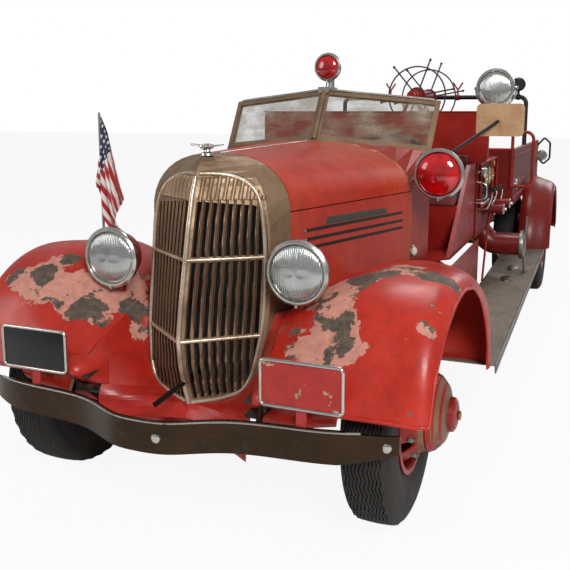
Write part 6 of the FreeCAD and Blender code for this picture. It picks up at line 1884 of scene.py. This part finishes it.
@dataclass
class PumpWorks(Assembly):
    """Gauge faces, valve handles, caps, rods and tube frames of the pump and the hose body."""

    panel_face: float = 0.794
    gauge_radii: tuple[float, ...] = (0.060, 0.060, 0.044)
    first_gauge: float = 2.515
    gauge_pitch: float = 0.165
    gauge_height: float = 1.255
    marks: int = 9
    mark_start: float = -40.0
    mark_pitch: float = 32.5
    frame_across: float = 0.772
    frame_stations: tuple[float, float, float] = (2.40, 2.96, 3.30)
    frame_low: float = 1.05
    frame_high: float = 1.362
    suction: Place = (1.045, front(2.900), 0.720)
    discharge_stations: tuple[float, float] = (2.690, 3.110)
    discharge_across: float = 0.905
    discharge_height: float = 1.010
    house_side: float = 0.758
    handles: tuple[tuple[float, float], ...] = ((2.56, 1.02), (2.82, 1.02), (3.20, 0.98))
    ring_centre: Place = (0.772, 0.400, 1.330)
    ring_radius: float = 0.030
    bed_front: float = 0.645
    bed_rear: float = rear(1.39)
    bed_side: float = 0.899
    bed_rows: tuple[float, float] = (1.02, 1.36)
    bed_edge: float = 1.421
    edge_radius: float = 0.0125
    rivets: int = 27
    rivet_pitch: float = 0.0985

    def gauges(self) -> None:
        """Rims, faces, hands and marks of the panel's three gauges."""
        rims, faces, hands = [], [], []
        for i, r in enumerate(self.gauge_radii):
            at = Vector((self.panel_face, front(self.first_gauge + self.gauge_pitch * i), self.gauge_height))
            rim = [(-0.012, r + 0.004), (0.0, r + 0.005), (0.005, r - 0.002), (0.003, r - 0.008),
                   (0.0, r - 0.009)]
            rims.append(self.turned(rim, at, ACROSS, 36))
            faces.append(self.turned([(-0.001, r - 0.008), (0.0012, r - 0.010), (0.0014, 0)], at, ACROSS, 36))
            pivot = at + ACROSS * 0.003
            hands.append(self.bar([pivot, pivot + Vector((0, 0.6 * r, 0.35 * r))], 0.0015, sides=3))
            for k in range(self.marks):
                turn = math.radians(self.mark_start + self.mark_pitch * k)
                way = Vector((0, math.cos(turn), math.sin(turn)))
                ends = [at + way * (r - inset) + ACROSS * 0.0015 for inset in (0.020, 0.013)]
                hands.append(self.bar(ends, 0.0010, sides=2))
        self.done(rims, "gauge_rims", "brass_old", Slot.BRASS)
        self.done(faces, "gauge_faces", "dial_face", Slot.PLATE)
        self.done(hands, "gauge_hands", "panel_black", Slot.BLACK)

    def frames(self) -> None:
        """The red tube frame round the panel, on both sides."""
        x, low, high = self.frame_across, self.frame_low, self.frame_high
        y0, middle, y1 = [front(station) for station in self.frame_stations]
        loop = [(x, y0, low), (x, y1, low), (x, y1, high), (x, y0, high)]
        rows = [self.bar(loop, 0.011, bend=0.05, loop=True, sides=5)]
        rows.append(self.bar([(x, middle, low), (x, middle, high)], 0.010, sides=5))
        self.done(self.both(rows), "panel_tube_frames", "body_red", Slot.BODY)

    def caps(self) -> None:
        """Steel caps with lugs and handles on the suctions, chrome caps on the discharges."""
        at = Vector(self.suction)
        disc = [(-0.028, 0.108), (-0.004, 0.109), (0.004, 0.104), (0.008, 0.060), (0.013, 0.055), (0.014, 0)]
        rows = [self.turned(disc, at, ACROSS, 48)]
        for way in (UP, -UP):
            ends = [at + way * 0.09 + ACROSS * 0.008, at + way * 0.215 + ACROSS * 0.012]
            rows.append(self.bar(ends, 0.0115, sides=5))
        self.done(self.both(rows), "suction_caps", "steel_bare", Slot.STEEL)
        rows = []
        cap = [(-0.040, 0.036), (-0.006, 0.037), (0.0, 0.040), (0.006, 0.036), (0.010, 0.014), (0.022, 0.012),
               (0.024, 0)]
        for station in self.discharge_stations:
            at = Vector((self.discharge_across, front(station), self.discharge_height))
            rows.append(self.turned(cap, at, ACROSS, 32))
            for way in (ALONG, -ALONG):
                rows.append(self.bar([at + way * 0.034, at + way * 0.058], 0.007))
        self.done(self.both(rows), "discharge_caps", "chrome_dull", Slot.CHROME)

    def rods(self) -> None:
        """The red draft rod and the bent valve handles."""
        y = front(self.frame_stations[1])
        rod = self.bar([(0.785, y, 1.24), (0.800, front(2.46), 0.506)], 0.008, sides=5)
        profile = [(-0.02, 0), (-0.016, 0.014), (0.016, 0.014), (0.02, 0)]
        knob = self.turned(profile, Vector((0.785, y, 1.25)), UP, 16)
        self.done([rod, knob], "draft_rod", "body_red", Slot.BODY)
        rows = []
        for station, z in self.handles:
            y = front(station)
            bow = [(self.house_side, y, z), (0.80, y, z), (0.83, y + 0.02, z + 0.07),
                   (0.83, y + 0.03, z + 0.13)]
            rows.append(self.bar(bow, 0.0065, bend=0.03, sides=5))
        self.done(rows, "valve_handles", "chrome_dull", Slot.CHROME)

    def fittings(self) -> None:
        """The chrome valve and bows by the panel, the brass ring, and the black grips at the tail."""
        x = self.house_side
        ball = [(0.0, 0.013), (0.012, 0.013), (0.014, 0.024), (0.026, 0.036), (0.044, 0.038), (0.062, 0.026),
                (0.068, 0)]
        rows = [self.turned(ball, Vector((x, -0.345, 1.300)), ACROSS, 28)]
        bow = [(x, -0.385, 1.235), (0.825, -0.385, 1.225), (0.825, -0.385, 1.125), (x, -0.385, 1.110)]
        rows.append(self.bar(bow, 0.0075, bend=0.03, sides=5))
        rod = [(x, -0.430, 1.095), (0.812, -0.430, 1.095), (0.812, -0.150, 1.100)]
        rows.append(self.bar(rod, 0.0065, bend=0.02, sides=5))
        disc = [(-0.002, 0.050), (0.008, 0.049), (0.014, 0.040), (0.016, 0.0)]
        rows.append(self.turned(disc, Vector((self.bed_side, 0.900, 1.122)), ACROSS, 32))
        self.done(rows, "valve_and_bows", "chrome_dull", Slot.CHROME)
        ring = []
        for i in range(24):
            turn = math.radians(15 * i)
            way = Vector((0, math.cos(turn), math.sin(turn)))
            ring.append(Vector(self.ring_centre) + way * self.ring_radius)
        stem = [(-0.002, 0.012), (0.018, 0.010), (0.022, 0)]
        stub = self.turned(stem, Vector((0.760, 0.400, 1.362)), ACROSS, 16)
        self.done([self.bar(ring, 0.006, loop=True), stub], "brass_ring", "brass_old", Slot.BRASS)
        x, y = self.bed_side, rear(1.355)
        loop = [(x, y, 1.375), (0.965, y, 1.455), (1.030, y, 1.400), (1.030, y, 1.220), (0.965, y, 1.160),
                (x, y, 1.225)]
        grip = self.bar(loop, 0.011, bend=0.02, sides=5)
        self.done(self.both([grip]), "tail_grips", "black_gloss", Slot.BLACK)

    def ledges(self) -> None:
        """Rolled top edges of the hose body and the back panel, with their rivets."""
        y0, y1, z = self.bed_front, self.bed_rear, self.bed_edge
        rows = [self.bar([(0.889, y0, z), (0.889, y1 - 0.002, z)], self.edge_radius, sides=5)]
        for row in self.bed_rows:
            rows.append(self.slab((0.8995, y0 + 0.01, row - 0.012), (0.9065, y1 - 0.01, row + 0.012), 0.003))
        rows = self.both(rows)
        rows.append(self.bar([(-0.87, y0 + 0.011, z), (0.87, y0 + 0.011, z)], self.edge_radius, sides=5))
        self.done(rows, "hose_body_edges", "body_red", Slot.BODY)
        places = []
        for side in Side:
            for row in self.bed_rows:
                for i in range(self.rivets):
                    at = Vector((side * 0.9063, y0 + 0.06 + self.rivet_pitch * i, row))
                    places.append((at, ACROSS * side))
        self.done(self.domes(places, 0.0055, 0.0032), "hose_body_rivets", "body_red", Slot.BODY)
        top = self.slab((-0.835, front(2.240), 1.716), (0.835, front(2.320), 1.7245), 0.003)
        self.done([top], "back_panel_ledge", "body_red", Slot.BODY)

    def build(self) -> None:
        """Builds the pump's and hose body's dressing."""
        self.gauges()
        self.frames()
        self.caps()
        self.rods()
        self.fittings()
        self.ledges()


@dataclass
class MirrorAndRivets(Assembly):
    """The mirror's glass, rim and arm sleeve, and the rivets of the cab and the pump house."""

    across: float = 0.980
    height: float = 1.667
    half_width: float = 0.1375
    half_height: float = 0.095
    inset: float = 0.014
    arm_foot: Place = (0.640, front(1.267), 1.402)
    arm_head_y: float = -1.101
    house_rivets: int = 15
    house_pitch: float = 0.067
    cab_rivets: int = 12
    cab_pitch: float = 0.04

    def mirror(self) -> None:
        """The mirror's glass and bright rim on its rear side, and the sleeve on its arm."""
        x, z = self.across, self.height
        y = touch(["mirror"], Vector((x, 1.0, z)), -ALONG)[0].y
        w, h = self.half_width - self.inset, self.half_height - self.inset
        loop = [Vector((x + a * w, y + 0.001, z + b * h)) for a, b in ((-1, -1), (1, -1), (1, 1), (-1, 1))]
        rim = self.bar(loop, 0.005, bend=0.03, loop=True)
        self.done([rim], "mirror_rim", "chrome_dull", Slot.CHROME)
        run = self.rounded(loop, 0.03, True)
        pane = self.shaped([p - ALONG * 0.0005 for p in run], ALONG * 0.0025)
        self.done([pane], "mirror_pane", "mirror_silver", Slot.PANE)
        foot, head = Vector(self.arm_foot), Vector((x, self.arm_head_y, z))
        sleeve = self.bar([foot.lerp(head, 0.06), foot.lerp(head, 0.975)], 0.0096, sides=5)
        self.done([sleeve], "mirror_arm_sleeve", "black_gloss", Slot.BLACK)

    def rivets(self) -> None:
        """Rivet rows on the pump house and the cab's sides."""
        places = []
        for side in Side:
            for i in range(self.house_rivets):
                y = front(2.345) + self.house_pitch * i
                places.append((beside("pump_house", side, y, 1.345), ACROSS * side))
            for i in range(self.cab_rivets):
                y = front(1.75) + self.cab_pitch * i
                places.append((beside("cab_body", side, y, 1.05), ACROSS * side))
        self.done(self.domes(places, 0.0055, 0.003), "body_rivets", "body_red", Slot.BODY)

    def build(self) -> None:
        """Builds the mirror's dressing and the rivets."""
        self.mirror()
        self.rivets()


def main() -> None:
    """Builds the studio and dresses the vehicle."""
    logging.basicConfig(level=logging.INFO, format="%(message)s")
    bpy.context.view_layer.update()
    Studio().build()
    finishes = Finishes()
    FrameDress(finishes)
    for kind in (Tyres, Flag, Grille, HoodTrim, Lamps, FenderEdges, Wheels, Boards, Windshield, Cab,
                 PumpWorks, MirrorAndRivets):
        LOG.info("building %s", kind.__name__)
        kind(finishes).build()


if __name__ == "__main__":
    main()
